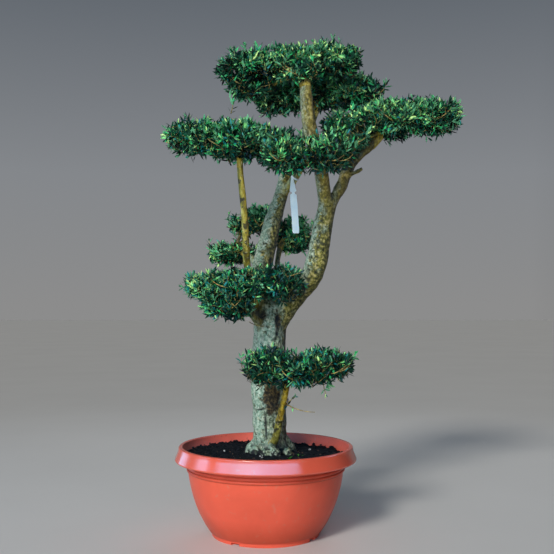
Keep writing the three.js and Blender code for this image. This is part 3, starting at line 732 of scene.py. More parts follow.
def bark_relief(points, strength):
    """How far the bark stands out at each point, and its painted shade, from 0 to 1.

    Broad swellings and knobs are noises of 70, 24 and 11 mm, with thin furrows where a noise is
    near nought, with a little painted shade in them. Between the roots the foot has painted shade
    where it lies near the trunk's axis and in its hollows. A crease is a groove along a line with
    painted shade in it, a fold a ridge over it.
    """
    relief = 2.4 * lattice_noise(points, 70 * MM, 1) + 1.5 * lattice_noise(points, 24 * MM, 2)
    relief += 0.9 * lattice_noise(points * np.array([1, 1, 0.6]), 11 * MM, 3)
    furrow = 1 - np.abs(lattice_noise(points * np.array([1, 1, 0.6]), 15 * MM, 4))
    relief -= 0.8 * furrow**10
    # A little painted shade in the thin furrows
    painted_shade = 0.18 * furrow**10
    height = np.maximum(points[:, 2] / MM - SOIL_LEVEL, 0)
    reach = np.linalg.norm(points[:, :2] / MM - np.array(TRUNK_FOOT), axis=1)
    foot = np.exp(-((height / 34) ** 2))
    relief += 4 * foot * fractal_noise(points, 20 * MM, 2, 5)
    hollow = np.clip(0.4 + 3.4 * fractal_noise(points, 11 * MM, 2, 12), 0, 1)
    relief -= 3 * foot * hollow
    near_axis = (FOOT_HOLLOW - reach - 0.25 * height) / 9
    near_axis = np.clip(near_axis + 0.9 * lattice_noise(points, 10 * MM, 6), 0, 1)
    # Painted shade low on the foot, near the trunk's axis and in the hollows
    painted_shade = np.maximum(painted_shade, np.minimum(1.3 * foot, 1) * np.maximum(near_axis, hollow))
    for knot in KNOTS:
        bulge, dark = knot_marks(points, knot)
        relief += bulge
        painted_shade = np.maximum(painted_shade, dark)
    for crease in CREASES:
        apart, drop = line_distance(points, np.array(crease["from"]), np.array(crease["to"]))
        ragged = apart + 2.5 * lattice_noise(points, 9 * MM, 7)
        groove = np.exp(-((ragged / crease["width"]) ** 2))
        relief -= crease["depth"] * groove
        # Painted shade in the crease's groove
        painted_shade = np.maximum(painted_shade, groove)
        above_gap = np.exp(-(((drop - crease["width"]) / 5) ** 2))
        relief += crease["fold"] * above_gap * np.exp(-((apart / 14) ** 2))
    return strength * relief * MM, np.clip(painted_shade, 0, 1)


def line_distance(points, start, end):
    """Millimetres from each point to a straight line's nearest spot, and the height above it."""
    along = end - start
    share = np.clip((points / MM - start) @ along / (along @ along), 0, 1)
    spot = start + share[:, None] * along
    return np.linalg.norm(points / MM - spot, axis=1), points[:, 2] / MM - spot[:, 2]


def bark_tones(points, normals, stretches):
    """Shares of moss, lichen, brown and young bark at each point.

    Each limb's tone weighs by the exponential of the distance to it. Lichen is thicker on the side
    that faces left and forwards, moss and brown on the right, partly as growth and partly as
    painted light on the lit side and painted shade on the shaded side. Patches are ragged balls.
    """
    total = np.zeros((len(points), 4))
    weights = np.zeros(len(points))
    for name, (limb, _, _) in stretches.items():
        apart = np.maximum(clearance_to(points, limb.beads(0, limb.length)), 0)
        weight = np.exp(-apart / (4 * MM)) + 1e-9
        over = points[:, 2] / MM - LIMBS[name].get("tone_above", -100)
        over += 9 * lattice_noise(points, 9 * MM, 13)
        weight *= np.clip(over / 8, 1e-6, 1)
        total += weight[:, None] * np.array(LIMBS[name]["tone"])
        weights += weight
    tones = total / weights[:, None]
    # Painted light and shade along with growth: paler lichen towards the lit left, moss and dark
    # brown on the shaded right
    side = normals @ unit(np.array([1.0, -0.1, -0.2]))
    tones[:, 0] += 0.4 * side
    tones[:, 1] -= 0.8 * side
    tones[:, 2] += 0.8 * np.clip(side - 0.4, 0, 1)
    for column, patches in ((1, PALE_PATCHES), (2, BROWN_PATCHES)):
        for patch in patches:
            scaled = (points / MM - np.array(patch["at"])) / np.array(patch["half"])
            ragged = np.linalg.norm(scaled, axis=1) + 0.35 * lattice_noise(points, 14 * MM, 8)
            ragged += 0.2 * lattice_noise(points, 6 * MM, 9)
            tones[:, column] = np.maximum(tones[:, column], np.clip((1.25 - ragged) * 2.2, 0, 1))
    return np.clip(tones, 0, 1)


def paint_bark(piece, tones, painted_shade):
    """Writes moss, lichen, brown and painted shade on the piece as one colour, and youth as a
    value.
    """
    colour = piece.data.color_attributes.new("bark_tone", "FLOAT_COLOR", "POINT")
    # The colour's alpha holds the painted shade of creases, knots and hollows
    shares = np.column_stack([tones[:, :3], painted_shade]).astype(np.float32)
    colour.data.foreach_set("color", shares.ravel())
    youth = piece.data.attributes.new("bark_youth", "FLOAT", "POINT")
    youth.data.foreach_set("value", tones[:, 3].astype(np.float32))


def root_rings():
    """Rings of each root: out of the trunk, down over its foot and into the soil."""
    rings = []
    for degrees, radius, top in ROOTS:
        outward = np.array([math.cos(math.radians(degrees)), math.sin(math.radians(degrees)), 0])
        axis = np.array([*TRUNK_FOOT, 0])
        points = [
            axis + outward * (ROOT_REACH - 42) + UP * (top + 8),
            axis + outward * (ROOT_REACH - 14) + UP * (top - 16),
            axis + outward * ROOT_REACH + UP * (SOIL_LEVEL + 8),
            axis + outward * (ROOT_REACH + 8) + UP * (SOIL_LEVEL - 22),
        ]
        root = Limb("root", points, (1.1 * radius, 0.85 * radius))
        rings.append(root.rings(0, root.length, ROOT_TUBE))
    return rings


def limb_surface(name, stretches, settings):
    """One limb's skin, with its children's collars and its snag joined smoothly into it."""
    limb, start, end = stretches[name]
    overlap = COLLAR_OVERLAP * MM if "parent" in LIMBS[name] else 0
    tubes = [limb.rings(start - overlap, end, LIMB_TUBE)]
    beads = [limb.beads(start, end)]
    for child, (other, stop, _) in stretches.items():
        if LIMBS[child].get("parent") == name:
            tubes.append(other.rings(0, stop, COLLAR_TUBE))
            beads.append(other.beads(0, stop))
    if LIMBS[name].get("flared"):
        tubes += root_rings()
    snag = LIMBS[name].get("snag")
    if snag:
        stump = Limb("snag", snag["points"], snag["radii"])
        tubes.append(stump.rings(0, stump.length, SNAG_TUBE))
        beads.append(stump.beads(0, stump.length))
    points, faces = join([closed_tube(tube) for tube in tubes])
    points, quads = voxel_union(points, faces, settings.voxel)
    clear = np.sort(np.stack([clearance_to(points, bead) for bead in beads]), axis=0)
    if len(beads) > 1:
        weight = 0.6 * np.clip(1 - clear[1] / (COLLAR_BLEND * MM), 0, 1)
        points = relaxed(points, quads, weight, 40)
    points = relaxed(points, quads, np.full(len(points), 0.4), 3)
    normals = point_normals(points, quads)
    tones = bark_tones(points, normals, stretches)
    relief, painted_shade = bark_relief(points, settings.relief)
    calm = 1 - 0.65 * tones[:, 3]
    relief, painted_shade = relief * calm, painted_shade * calm
    node_height = LIMBS[name].get("node_height")
    if node_height:
        above = points[:, 2] / MM - node_height
        # A raised old ring of bark, with a painted shadow in a thin line just under it
        relief += 1.6 * MM * np.exp(-((above / 6) ** 2))
        painted_shade = np.maximum(painted_shade, 0.75 * np.exp(-(((above + 7) / 2.5) ** 2)))
        tones[:, 0] = np.where(above < 0, 0.3, tones[:, 0])
    return points + normals * relief[:, None], quads, tones, painted_shade


# Foliage


def bezier(start, bend, end, shares):
    """Quadratic curves and their tangents at shares t: (1-t)^2 start + 2t(1-t) bend + t^2 end."""
    t = shares[None, :, None]
    start, bend, end = start[:, None], bend[:, None], end[:, None]
    centre = (1 - t) ** 2 * start + 2 * t * (1 - t) * bend + t**2 * end
    return centre, unit((1 - t) * (bend - start) + t * (end - bend))


def side_directions(tangent):
    """Two directions across each tangent."""
    helper = np.where(np.abs(tangent[..., 2:]) > 0.85, np.array([1.0, 0, 0]), UP)
    across = unit(np.cross(helper, tangent))
    return across, np.cross(tangent, across)


def many_tubes(start, bend, end, radii, steps, sides):
    """Bent tapering tubes, all as one array of points and quads, with flat ends."""
    centre, tangent = bezier(start, bend, end, np.linspace(0, 1, steps + 1))
    across, along = side_directions(tangent)
    angle = np.linspace(0, 2 * math.pi, sides, endpoint=False)
    radius = np.linspace(radii[0], radii[1], steps + 1)[None, :, None, None] * MM
    turn = np.cos(angle)[:, None] * across[:, :, None] + np.sin(angle)[:, None] * along[:, :, None]
    points = centre[:, :, None] + radius * turn
    shift = (np.arange(len(start)) * (steps + 1) * sides)[:, None, None]
    body = (grid_faces(steps + 1, sides)[None] + shift).reshape(-1, 4)
    low = (np.arange(sides)[::-1][None] + shift[:, 0]).reshape(-1, sides)
    high = (np.arange(sides)[None] + steps * sides + shift[:, 0]).reshape(-1, sides)
    return points.reshape(-1, 3), [body, low, high]


def lobe_distance(points, lobe):
    """Distance from a lobe's surface, negative inside: size (size - 1) / slope of scaled radius."""
    centre, half = np.array(lobe[:3]) * MM, np.array(lobe[3:]) * MM
    scaled = (points - centre) / half
    size = np.linalg.norm(scaled, axis=-1)
    slope = np.linalg.norm(scaled / half, axis=-1)
    return np.where(slope < 1e-9, -half.min(), size * (size - 1) / np.maximum(slope, 1e-9))


def mass_distance(points, name):
    """Distance from a mass's space, negative inside."""
    return np.min([lobe_distance(points, lobe) for lobe in MASSES[name]["lobes"]], axis=0)


def golden_places(count, rng):
    """Evenly spread directions: equal steps of height, each turned on by the golden angle."""
    height = 1 - 2 * (np.arange(count) + 0.5) / count
    around = np.arange(count) * GOLDEN_ANGLE + rng.uniform(0, 0.5, count)
    level = np.sqrt(1 - height**2)
    return np.stack([level * np.cos(around), level * np.sin(around), height], axis=1)


def lobe_area(half):
    """Near area of an ellipsoid, from the mean of its paired half sizes to the power 1.6."""
    a, b, c = half
    return 4 * math.pi * (((a * b) ** 1.6 + (a * c) ** 1.6 + (b * c) ** 1.6) / 3) ** (1 / 1.6)


def is_free(points, name, margin, obstacles, room):
    """Whether points keep to the mass's own space and clear of the other masses and the limbs."""
    own = mass_distance(points, name)
    free = own < margin
    for other in MASSES:
        if other != name:
            free &= mass_distance(points, other) > own
    for beads in obstacles:
        free &= clearance_to(points, beads) > room
    return free


def nearest(points, targets):
    """For each point, the number of the nearest target."""
    squares = (points**2).sum(1)[:, None] - 2 * points @ targets.T + (targets**2).sum(1)[None, :]
    return squares.argmin(axis=1)


class Growth:
    """Boughs, twigs and leaves gathered while one mass grows."""

    def __init__(self, name, obstacles, settings, rng):
        self.name = name
        self.obstacles = obstacles
        self.settings = settings
        self.rng = rng
        self.sky_reflection_share = MASSES[name].get("sky_reflection_share", SKY_REFLECTION_SHARE)
        self.boughs = []
        self.twigs = []
        self.leaves = []
        self.tints = []

    def jitter(self, count, size):
        """Small random moves in all directions."""
        return self.rng.normal(0, size, (count, 3))

    def branch(self, kind, start, end, sag, radii, steps, sides):
        """Bent limbs from start to end; the bend lies past the middle and sag below the chord."""
        apart = np.linalg.norm(end - start, axis=1, keepdims=True)
        bend = 0.45 * start + 0.55 * end - UP * apart * sag + self.jitter(len(start), 0.06) * apart
        kind.append(many_tubes(start, bend, end, radii, steps, sides))
        return bend

    def shoots(self, start, end, pairs, light, radii=SHOOT_RADII, anywhere=False):
        """Leafy shoots: a bent twig with crossed pairs of leaves, painted brighter towards its tip.
        """
        count = len(start)
        if not count:
            return
        rng = self.rng
        length = np.linalg.norm(end - start, axis=1, keepdims=True)
        bend = 0.5 * (start + end) + self.jitter(count, 0.08) * length - UP * length * 0.05
        self.twigs.append(many_tubes(start, bend, end, radii, 2, 3))
        share = np.linspace(0.08, 1.0, pairs + 1)
        centre, tangent = bezier(start, bend, end, share)
        across, along = side_directions(tangent)
        turn = rng.uniform(0, math.pi, (count, 1)) + np.arange(pairs + 1) * math.pi / 2
        turn = (turn + rng.normal(0, 0.25, turn.shape))[..., None]
        side = np.cos(turn) * across + np.sin(turn) * along
        open_angle = (1.25 - 0.75 * share)[None, :, None] + rng.normal(0, 0.2, turn.shape)
        size = self.settings.leaf_length * (0.7 + 0.4 * np.sin(math.pi * (0.12 + 0.66 * share)))
        for sign in (-1, 1):
            heading = np.cos(open_angle) * tangent + sign * np.sin(open_angle) * side
            heading = unit(heading + UP * 0.12 + rng.normal(0, 0.2, heading.shape))
            face = unit(tangent + UP * 0.45 + rng.normal(0, 0.4, heading.shape))
            long = size[None, :] * rng.uniform(0.7, 1.12, (count, pairs + 1))
            long[:, -1] *= 0.75
            # Painted light on each leaf: the spray's, more towards the shoot's tip, with a random
            # spread
            bright = light[:, None] + TIP_LIGHT * (share[None, :] - 0.62)
            bright = bright + rng.normal(0, LEAF_CONTRAST, long.shape)
            tint = dealt_tints(bright, self.sky_reflection_share, rng)
            self.add_leaves(centre, heading, face, long, tint, anywhere)

    def add_leaves(self, root, heading, face, long, tint, anywhere):
        """Keeps the leaves whose root, middle and tip have room, or all leaves of a sprig apart."""
        root, heading, face = (a.reshape(-1, 3) for a in (root, heading, face))
        long, tint = long.ravel(), tint.ravel()
        free = np.ones(len(root), dtype=bool)
        for share in () if anywhere else (0.0, 0.5, 1.0):
            place = root + heading * (share * long)[:, None]
            free &= is_free(place, self.name, LEAF_REACH * MM, self.obstacles, LEAF_ROOM * MM)
        self.leaves.append((root[free], heading[free], face[free], long[free]))
        self.tints.append(tint[free])


def shoot_light(outward, depth, rng):
    """Painted light on each spray's leaves: more on top, to the left and at the surface, less
    deeper in.
    """
    light = 0.55 * outward[:, 2] - 0.3 * outward[:, 0] - 0.15 * outward[:, 1] - 4.5 * depth
    return rng.normal(0.06, 0.3, len(outward)) + light


def dealt_tints(light, sky_reflection_share, rng):
    """Leaf colours by painted brightness, with a share of leaves given a painted reflection of blue
    sky.
    """
    tint = np.searchsorted(TINT_STEPS, light)
    # Painted reflection of blue sky: a pale teal where the painted light is bright, a dark one in
    # shade
    gloss = np.where(light > 0.2, SKY_GLOSS, SHADED_GLOSS)
    return np.where(rng.random(light.shape) < sky_reflection_share, gloss, tint)


def grow_mass(name, limb, stem_start, obstacles, settings, seed):
    """One mass: stem, link boughs to each lobe's hub, branchlets, twigs and leafy shoots."""
    rng = np.random.default_rng(seed)
    growth = Growth(name, obstacles, settings, rng)
    stem = limb.rings(stem_start - 6 * MM, limb.length, STEM_TUBE)
    growth.boughs.append(closed_tube(stem))
    fork = limb.point(limb.length - 4 * MM)
    lobes = np.array(MASSES[name]["lobes"], dtype=float)
    hubs = (lobes[:, :3] - UP * lobes[:, 5:] * HUB_DROP) * MM
    forks = np.repeat(fork[None], len(hubs), axis=0)
    growth.branch(growth.boughs, forks, hubs, 0.1, LINK_RADII, 10, 10)
    # Painted light and shade, a value for each lobe's leaves
    shades = MASSES[name].get("light", [0.0] * len(lobes))
    for lobe, hub, shade in zip(lobes, hubs, shades):
        joints = grow_branchlets(growth, lobe, hub)
        for depth, spacing, pairs in LAYERS:
            grow_sprays(growth, lobe, joints, depth, spacing * settings.shoot_spacing, pairs, shade)
        grow_runners(growth, lobe, hub)
    grow_tips(growth, hubs)
    grow_sprigs(growth)
    return growth


def grow_branchlets(growth, lobe, hub):
    """A lobe's branchlets, from its hub to evenly spread places; gives the joints on them."""
    centre, half = lobe[:3] * MM, lobe[3:] * MM
    ends = centre + half * golden_places(BRANCHLETS, growth.rng) * BRANCHLET_REACH
    hubs = np.repeat(hub[None], len(ends), axis=0)
    bends = growth.branch(growth.boughs, hubs, ends, 0.12, BRANCHLET_RADII, 6, 5)
    return np.concatenate([ends, 0.25 * hubs + 0.5 * bends + 0.25 * ends])


def grow_sprays(growth, lobe, joints, depth, spacing, pairs, shade):
    """One layer of a lobe: sprays on twigs, each a fan of leafy shoots up to the lobe's surface.

    Shoots end a leaf's length under evenly spread places, drawn a little towards their spray's
    middle, so that dark gaps stay between the sprays.
    """
    rng = growth.rng
    centre, half = lobe[:3] * MM, lobe[3:] * MM
    leaf = growth.settings.leaf_length
    area = lobe_area(half * (1 - depth))
    heart = golden_places(max(6, round(area / (SPRAY_SPACING * MM) ** 2)), rng)
    heart_in = unit(heart / half)
    scale = 1 - depth - np.abs(rng.normal(0, 0.06, (len(heart), 1)))
    base = centre + half * heart * scale - heart_in * SPRAY_DEPTH * MM
    outward = golden_places(round(area / spacing**2), rng)
    spray = nearest(outward * half, heart * half)
    outward = unit(outward + PULL * (heart[spray] - outward))
    kept = rng.random(len(outward)) < np.where(outward[:, 2] < -0.4, UNDERSIDE_SHARE, 1.0)
    layer = centre + half * outward * (1 - depth)
    kept &= mass_distance(layer, growth.name) > -(0.14 + depth) * half.min()
    outward, spray = outward[kept], spray[kept]
    surface = centre + half * outward * scale[spray]
    clump = fractal_noise(surface, CLUMP * MM, 2, 31)
    fan = unit(surface - base[spray])
    rise = np.where(outward[:, 2:] > -0.25, 0.6, -0.1)
    facing = 0.45 * unit(outward / half) + 0.45 * fan + UP * rise
    facing = unit(facing + growth.jitter(len(outward), 0.55))
    stray = rng.random((len(outward), 1)) < STRAY_SHARE
    plain = rng.uniform(-8, 4, (len(outward), 1))
    plain = plain - CLUMP_SINK * np.clip(-1.6 * clump, 0, 1)[:, None]
    proud = np.where(stray, rng.uniform(0, STRAY, (len(outward), 1)), plain)
    end = surface - facing * (0.72 * leaf - proud * MM)
    start = end - facing * SHOOT_LENGTH * MM * rng.uniform(0.6, 1.35, (len(outward), 1))
    free = is_free(end, growth.name, 0, growth.obstacles, SHOOT_ROOM * MM)
    free &= is_free(start, growth.name, 0, growth.obstacles, SHOOT_ROOM * MM)
    start, end, spray, clump = start[free], end[free], spray[free], clump[free]
    used = np.unique(spray)
    forks = joints[nearest(base[used], joints)]
    growth.branch(growth.twigs, forks, base[used], 0.1, TWIG_RADII, 4, 4)
    growth.branch(growth.twigs, base[spray], start, 0.05, SHOOT_RADII, 1, 3)
    # Painted light and shade per shoot: the spray's, brighter on clumps and darker between them,
    # and the lobe's own
    light = shoot_light(heart_in, depth, rng)[spray] + CLUMP_LIGHT * clump
    light = light + rng.normal(shade, 0.25, len(spray))
    growth.shoots(start, end, pairs, light)


def grow_runners(growth, lobe, hub):
    """Long bare ochre twigs that curve out along the side of a lobe and end in a leafy shoot."""
    rng = growth.rng
    centre, half = lobe[:3] * MM, lobe[3:] * MM
    around = np.arange(RUNNERS) * 2 * math.pi / RUNNERS + rng.uniform(0, 0.5, RUNNERS)
    swing = rng.choice([-1, 1], RUNNERS) * rng.uniform(0.5, 0.9, RUNNERS)

    def place(turn, height, reach):
        """Points on the lobe's surface at a bearing and a height, scaled by their reach."""
        level = np.sqrt(1 - height**2)
        spread = np.stack([level * np.cos(turn), level * np.sin(turn), height], axis=1)
        return centre + half * spread * reach

    low = rng.uniform(-0.55, -0.15, RUNNERS)
    start = 0.5 * (hub + place(around, low, 0.5))
    bend = place(around + 0.4 * swing, low - 0.1, 1.1)
    end = place(around + swing, low + rng.uniform(0.25, 0.55, RUNNERS), 1.0)
    middle = 0.25 * start + 0.5 * bend + 0.25 * end
    free = np.ones(RUNNERS, dtype=bool)
    for spot in (middle, end):
        free &= is_free(spot, growth.name, 0, growth.obstacles, RUNNER_ROOM * MM)
        free &= mass_distance(spot, growth.name) > -RUNNER_DEPTH * MM
    start, bend, end = start[free], bend[free], end[free]
    growth.twigs.append(many_tubes(start, bend, end, RUNNER_RADII, 10, 5))
    heading = unit(unit(end - bend) + UP * 0.6)
    growth.shoots(end, end + heading * RUNNER_TIP * MM, RUNNER_PAIRS, np.full(len(end), 0.8))


def grow_tips(growth, hubs):
    """Sprigs from the nearest hub to the mass's furthest tips."""
    tips = np.array(MASSES[growth.name]["tips"], dtype=float) * MM
    near = hubs[nearest(tips, hubs)]
    inward = unit(near - tips)
    end = tips + inward * growth.settings.leaf_length * 0.6
    apart = np.linalg.norm(near - tips, axis=1, keepdims=True)
    start = tips + inward * np.minimum(TIP_SHOOT_LENGTH * MM, 0.8 * apart)
    growth.branch(growth.twigs, near, start, 0.08, TIP_STEM_RADII, 6, 5)
    growth.shoots(start, end, TIP_PAIRS, np.full(len(tips), 0.8), TIP_SHOOT_RADII)


def grow_sprigs(growth):
    """Single twigs that stand apart from the mass, bare or with a few pairs of leaves."""
    for start, end, pairs in MASSES[growth.name].get("sprigs", []):
        start, end = np.array([start]) * MM, np.array([end]) * MM
        if pairs:
            growth.shoots(start, end, pairs, np.array([0.7]), SPRIG_RADII, anywhere=True)
        else:
            growth.branch(growth.twigs, start, end, 0.1, SPRIG_RADII, 8, 6)


# Leaf points as shares of length, half width and rise: an outline of six, and the midrib's middle
LEAF_POINTS = np.array([
    (0.0, 0.0, 0.0), (0.27, 0.86, 0.0), (0.62, 0.92, 0.0), (1.0, 0.0, 0.0), (0.62, -0.92, 0.0),
    (0.27, -0.86, 0.0), (0.45, 0.0, 1.0),
])
LEAF_TOP = np.array([(0, 6, 1), (1, 6, 2), (2, 6, 3), (3, 6, 4), (4, 6, 5), (5, 6, 0)])
LEAF_UNDER = np.array([(0, 1, 5), (1, 2, 5), (2, 4, 5), (2, 3, 4)])


def leaf_blades(root, heading, face, long, broad, curl):
    """Leaves as narrow lances with a raised midrib, their tips curled down by the square of x."""
    side = unit(np.cross(face, heading))
    normal = np.cross(heading, side)
    x = LEAF_POINTS[:, 0][None, :, None] * long[:, None, None]
    y = LEAF_POINTS[:, 1][None, :, None] * broad[:, None, None]
    z = LEAF_POINTS[:, 2][None, :, None] * LEAF_RISE * MM
    z = z - curl[:, None, None] * x**2 / long[:, None, None]
    points = root[:, None] + x * heading[:, None] + y * side[:, None] + z * normal[:, None]
    shift = len(LEAF_POINTS) * np.arange(len(root))[:, None, None]
    return points.reshape(-1, 3), np.concatenate([LEAF_TOP, LEAF_UNDER])[None] + shift


def leaf_surfaces(growth, width):
    """Every leaf of a mass, with its tint on the upper face and dull felt underneath."""
    root, heading, face, long = (np.concatenate(a) for a in zip(*growth.leaves))
    broad = 0.5 * width * (0.5 + 0.5 * long / growth.settings.leaf_length)
    curl = growth.rng.normal(LEAF_CURL, 0.06, len(long))
    points, faces = leaf_blades(root, heading, face, long, broad, curl)
    tint = np.concatenate(growth.tints)
    slots = np.repeat(tint[:, None], len(LEAF_TOP) + len(LEAF_UNDER), axis=1)
    # Painted shade underneath as well: silver felt under the brighter tints, shaded felt under the
    # rest
    slots[:, len(LEAF_TOP) :] = len(LEAF_TINTS) + np.isin(tint, SILVER_BACKED)[:, None]
    return points, faces.reshape(-1, 3), slots.ravel()


# Pot, soil and tag


def arc(centre, radius, start, end, steps):
    """Points on a round stretch, angles in degrees."""
    angle = np.radians(np.linspace(start, end, steps + 1))
    return np.array(centre) + radius * np.stack([np.cos(angle), np.sin(angle)], axis=1)


def plane_bezier(start, bend, end, steps):
    """Points on a flat quadratic curve."""
    t = np.linspace(0, 1, steps + 1)[:, None]
    return (1 - t) ** 2 * np.array(start) + 2 * t * (1 - t) * np.array(bend) + t**2 * np.array(end)


def body_curve():
    """The bowl's swelling side, from the foot to below the ribs."""
    top = (NECK_RADIUS - 2, RIB_HEIGHTS[0] - RIB_WIDTH)
    return plane_bezier((FOOT_RADIUS + 7, FOOT_HEIGHT + 1), (240, 92), top, BODY_STEPS)


def pot_outside():
    """Half section from the middle of the underside up to the rim's crest."""
    ribs = [
        arc((NECK_RADIUS - 1.6, height), RIB_WIDTH / 2, -80, 80, 8) for height in RIB_HEIGHTS
    ]
    rim = [
        [(NECK_RADIUS, RIM_BOTTOM - 10)],
        arc((NECK_RADIUS + 6, RIM_BOTTOM - 7.5), 6, 175, 95, 5),
        [(RIM_RADIUS - 12, RIM_BOTTOM - 2)],
        arc((RIM_RADIUS - 5, RIM_BOTTOM + 3.6), 5, -80, 14, 8),
        [(CREST_RADIUS + 3, POT_HEIGHT - 13)],
        arc((CREST_RADIUS - 2.5, POT_HEIGHT - 4.5), 4.5, 5, 80, 6),
        [(CREST_RADIUS - 4.5, POT_HEIGHT - 0.9), (CREST_RADIUS - 6.5, POT_HEIGHT - 0.6)],
    ]
    foot = [
        [(0, 0), (60, 0), (120, 0), (160, 0), (168, 0)],
        [(FOOT_RADIUS - 1.2, 0), (FOOT_RADIUS, 1.2), (FOOT_RADIUS, NOTCH_HEIGHT)],
        [(FOOT_RADIUS, FOOT_HEIGHT - 2), (FOOT_RADIUS + 1.5, FOOT_HEIGHT)],
    ]
    return np.concatenate([*map(np.array, foot), body_curve(), *ribs, *map(np.array, rim)])


def pot_inside():
    """Half section from the crest down the inner wall to the middle of the floor."""
    rim = [
        arc((CREST_RADIUS - 8.5, POT_HEIGHT - 3), 3, 70, 190, 7),
        [(CREST_RADIUS - 17, POT_HEIGHT - 26), (NECK_RADIUS - POT_WALL, RIM_BOTTOM - 8)],
    ]
    body = body_curve()[::-1][:-1] - np.array([POT_WALL, 0])
    floor = [(FOOT_RADIUS, POT_FLOOR + 6), (FOOT_RADIUS - 12, POT_FLOOR), (0, POT_FLOOR)]
    return np.concatenate([*map(np.array, rim), body, np.array(floor)])


def turned(profile, angles):
    """A profile of radius and height turned to each angle, its first and last point as poles."""
    radius, height = profile[1:-1].T * MM
    ring = np.stack([np.cos(angles), np.sin(angles)], axis=1)
    points = np.empty((len(radius), len(angles), 3))
    points[..., :2] = radius[:, None, None] * ring[None]
    points[..., 2] = height[:, None]
    poles = np.zeros((2, 3))
    poles[:, 2] = profile[[0, -1], 1] * MM
    sides = len(angles)
    last = (len(radius) - 1) * sides
    faces = [
        grid_faces(len(radius), sides),
        fan_faces(np.arange(sides), len(radius) * sides, False),
        fan_faces(np.arange(sides) + last, len(radius) * sides + 1, True),
    ]
    return np.concatenate([points.reshape(-1, 3), poles]), faces


def soil_height(places, clod):
    """Height of the soil's top in metres: its level, clods from noises of 46 and 13 mm, a shallow
    ring between trunk and wall, and a bank that grows with the square of the way to the back left.
    """
    flat = places * np.array([1.0, 1.0, 0.0])
    spread = np.linalg.norm(flat, axis=1) / MM
    rough = 0.7 * fractal_noise(flat, 46 * MM, 2, 21) + fractal_noise(flat, 13 * MM, 3, 22)
    ring = np.exp(-(((spread - 200) / 60) ** 2))
    bank = np.clip(flat @ np.array([-0.87, 0.5, 0]) / (SOIL_RADIUS * MM), 0, 1) ** 2
    return SOIL_LEVEL * MM + clod * (rough - 0.9 * ring) + SOIL_BANK * MM * bank


def soil_body(clod):
    """The soil's body: up the pot's inside with a narrow gap, then over its own uneven top."""
    radius = np.linspace(SOIL_RADIUS, 0, SOIL_RINGS)
    top = np.stack([radius, np.full(SOIL_RINGS, SOIL_LEVEL)], axis=1)
    inside = pot_inside()
    below = inside[inside[:, 1] < SOIL_LEVEL - 10] + np.array([-0.6, 0.3])
    below[-1, 0] = 0
    profile = np.concatenate([below[::-1], top])
    points, faces = turned(profile, np.linspace(0, 2 * math.pi, SOIL_SIDES, endpoint=False))
    above = points[:, 2] > (SOIL_LEVEL - 1) * MM
    spread = np.linalg.norm(points[:, :2], axis=1) / MM
    edge = np.clip((SOIL_RADIUS - spread) / 8, 0, 1)
    height = soil_height(points, clod) - (1 - edge) * 3 * MM
    points[:, 2] = np.where(above, height, points[:, 2])
    return points, faces


def level_directions(around):
    """Level directions at bearings in radians, from +X towards +Y."""
    return np.stack([np.cos(around), np.sin(around), 0 * around], axis=1)


def lumps(places, half, rng):
    """Closed uneven lumps: each a ball of four rings and two poles, its radius varied at random."""
    polar = np.radians([36, 72, 108, 144])[:, None]
    around = np.radians(np.arange(6) * 60)[None, :]
    level = np.sin(polar)
    ball = np.stack(
        [level * np.cos(around), level * np.sin(around), np.cos(polar) + 0 * around], axis=-1
    )
    size = half[:, None, None, None] * rng.uniform(0.7, 1.25, (len(places), 4, 6, 1))
    squash = rng.uniform(0.5, 0.95, (len(places), 1, 1, 1))
    flat = squash * np.array([0, 0, 1]) + np.array([1, 1, 0])
    rings = (places[:, None, None] + ball[None, ::-1] * size * flat).reshape(len(places), -1, 3)
    tall = half[:, None] * UP * 0.7
    points = np.concatenate([rings, (places - tall)[:, None], (places + tall)[:, None]], axis=1)
    ring = np.arange(6)
    faces = [grid_faces(4, 6), fan_faces(ring, 24, False), fan_faces(ring + 18, 25, True)]
    shift = 26 * np.arange(len(places))[:, None, None]
    faces = [(group[None] + shift).reshape(-1, group.shape[1]) for group in faces]
    return points.reshape(-1, 3), faces


def tag_plate(anchor):
    """The tag's plate: an arrow head, a narrow neck and a long end, bowed a little and leaning."""
    neck = -HEAD_LENGTH - NECK_SLOPE
    outline = np.array([
        (4, STRAP_WIDTH / 2), (0, STRAP_WIDTH / 2), (-HEAD_LENGTH, TAG_WIDTH / 2),
        (neck, NECK_WIDTH / 2), (neck - NECK_LENGTH, NECK_WIDTH / 2),
        (neck - NECK_LENGTH - NECK_SLOPE, TAG_WIDTH / 2), (-TAG_LENGTH + 3, TAG_WIDTH / 2),
        (-TAG_LENGTH, TAG_WIDTH / 2 - 3),
    ])
    fall = np.unique(np.concatenate([outline[:, 0], np.linspace(4, -TAG_LENGTH, 60)]))[::-1]
    half = np.interp(-fall, -outline[:, 0], outline[:, 1])
    share = -fall / TAG_LENGTH
    bow = 3.5 * np.sin(math.pi * np.clip(share, 0, 1)) - 1.5 * share**2
    section = np.array([(1.0, -1.0), (1.0, 1.0), (-1.0, 1.0), (-1.0, -1.0)])
    rings = np.empty((len(fall), 4, 3))
    rings[..., 0] = half[:, None] * section[None, :, 0] - TAG_LEAN * fall[:, None]
    rings[..., 1] = -bow[:, None] + 0.5 * TAG_THICKNESS * section[None, :, 1]
    rings[..., 2] = fall[:, None]
    return closed_tube(rings * MM + anchor)


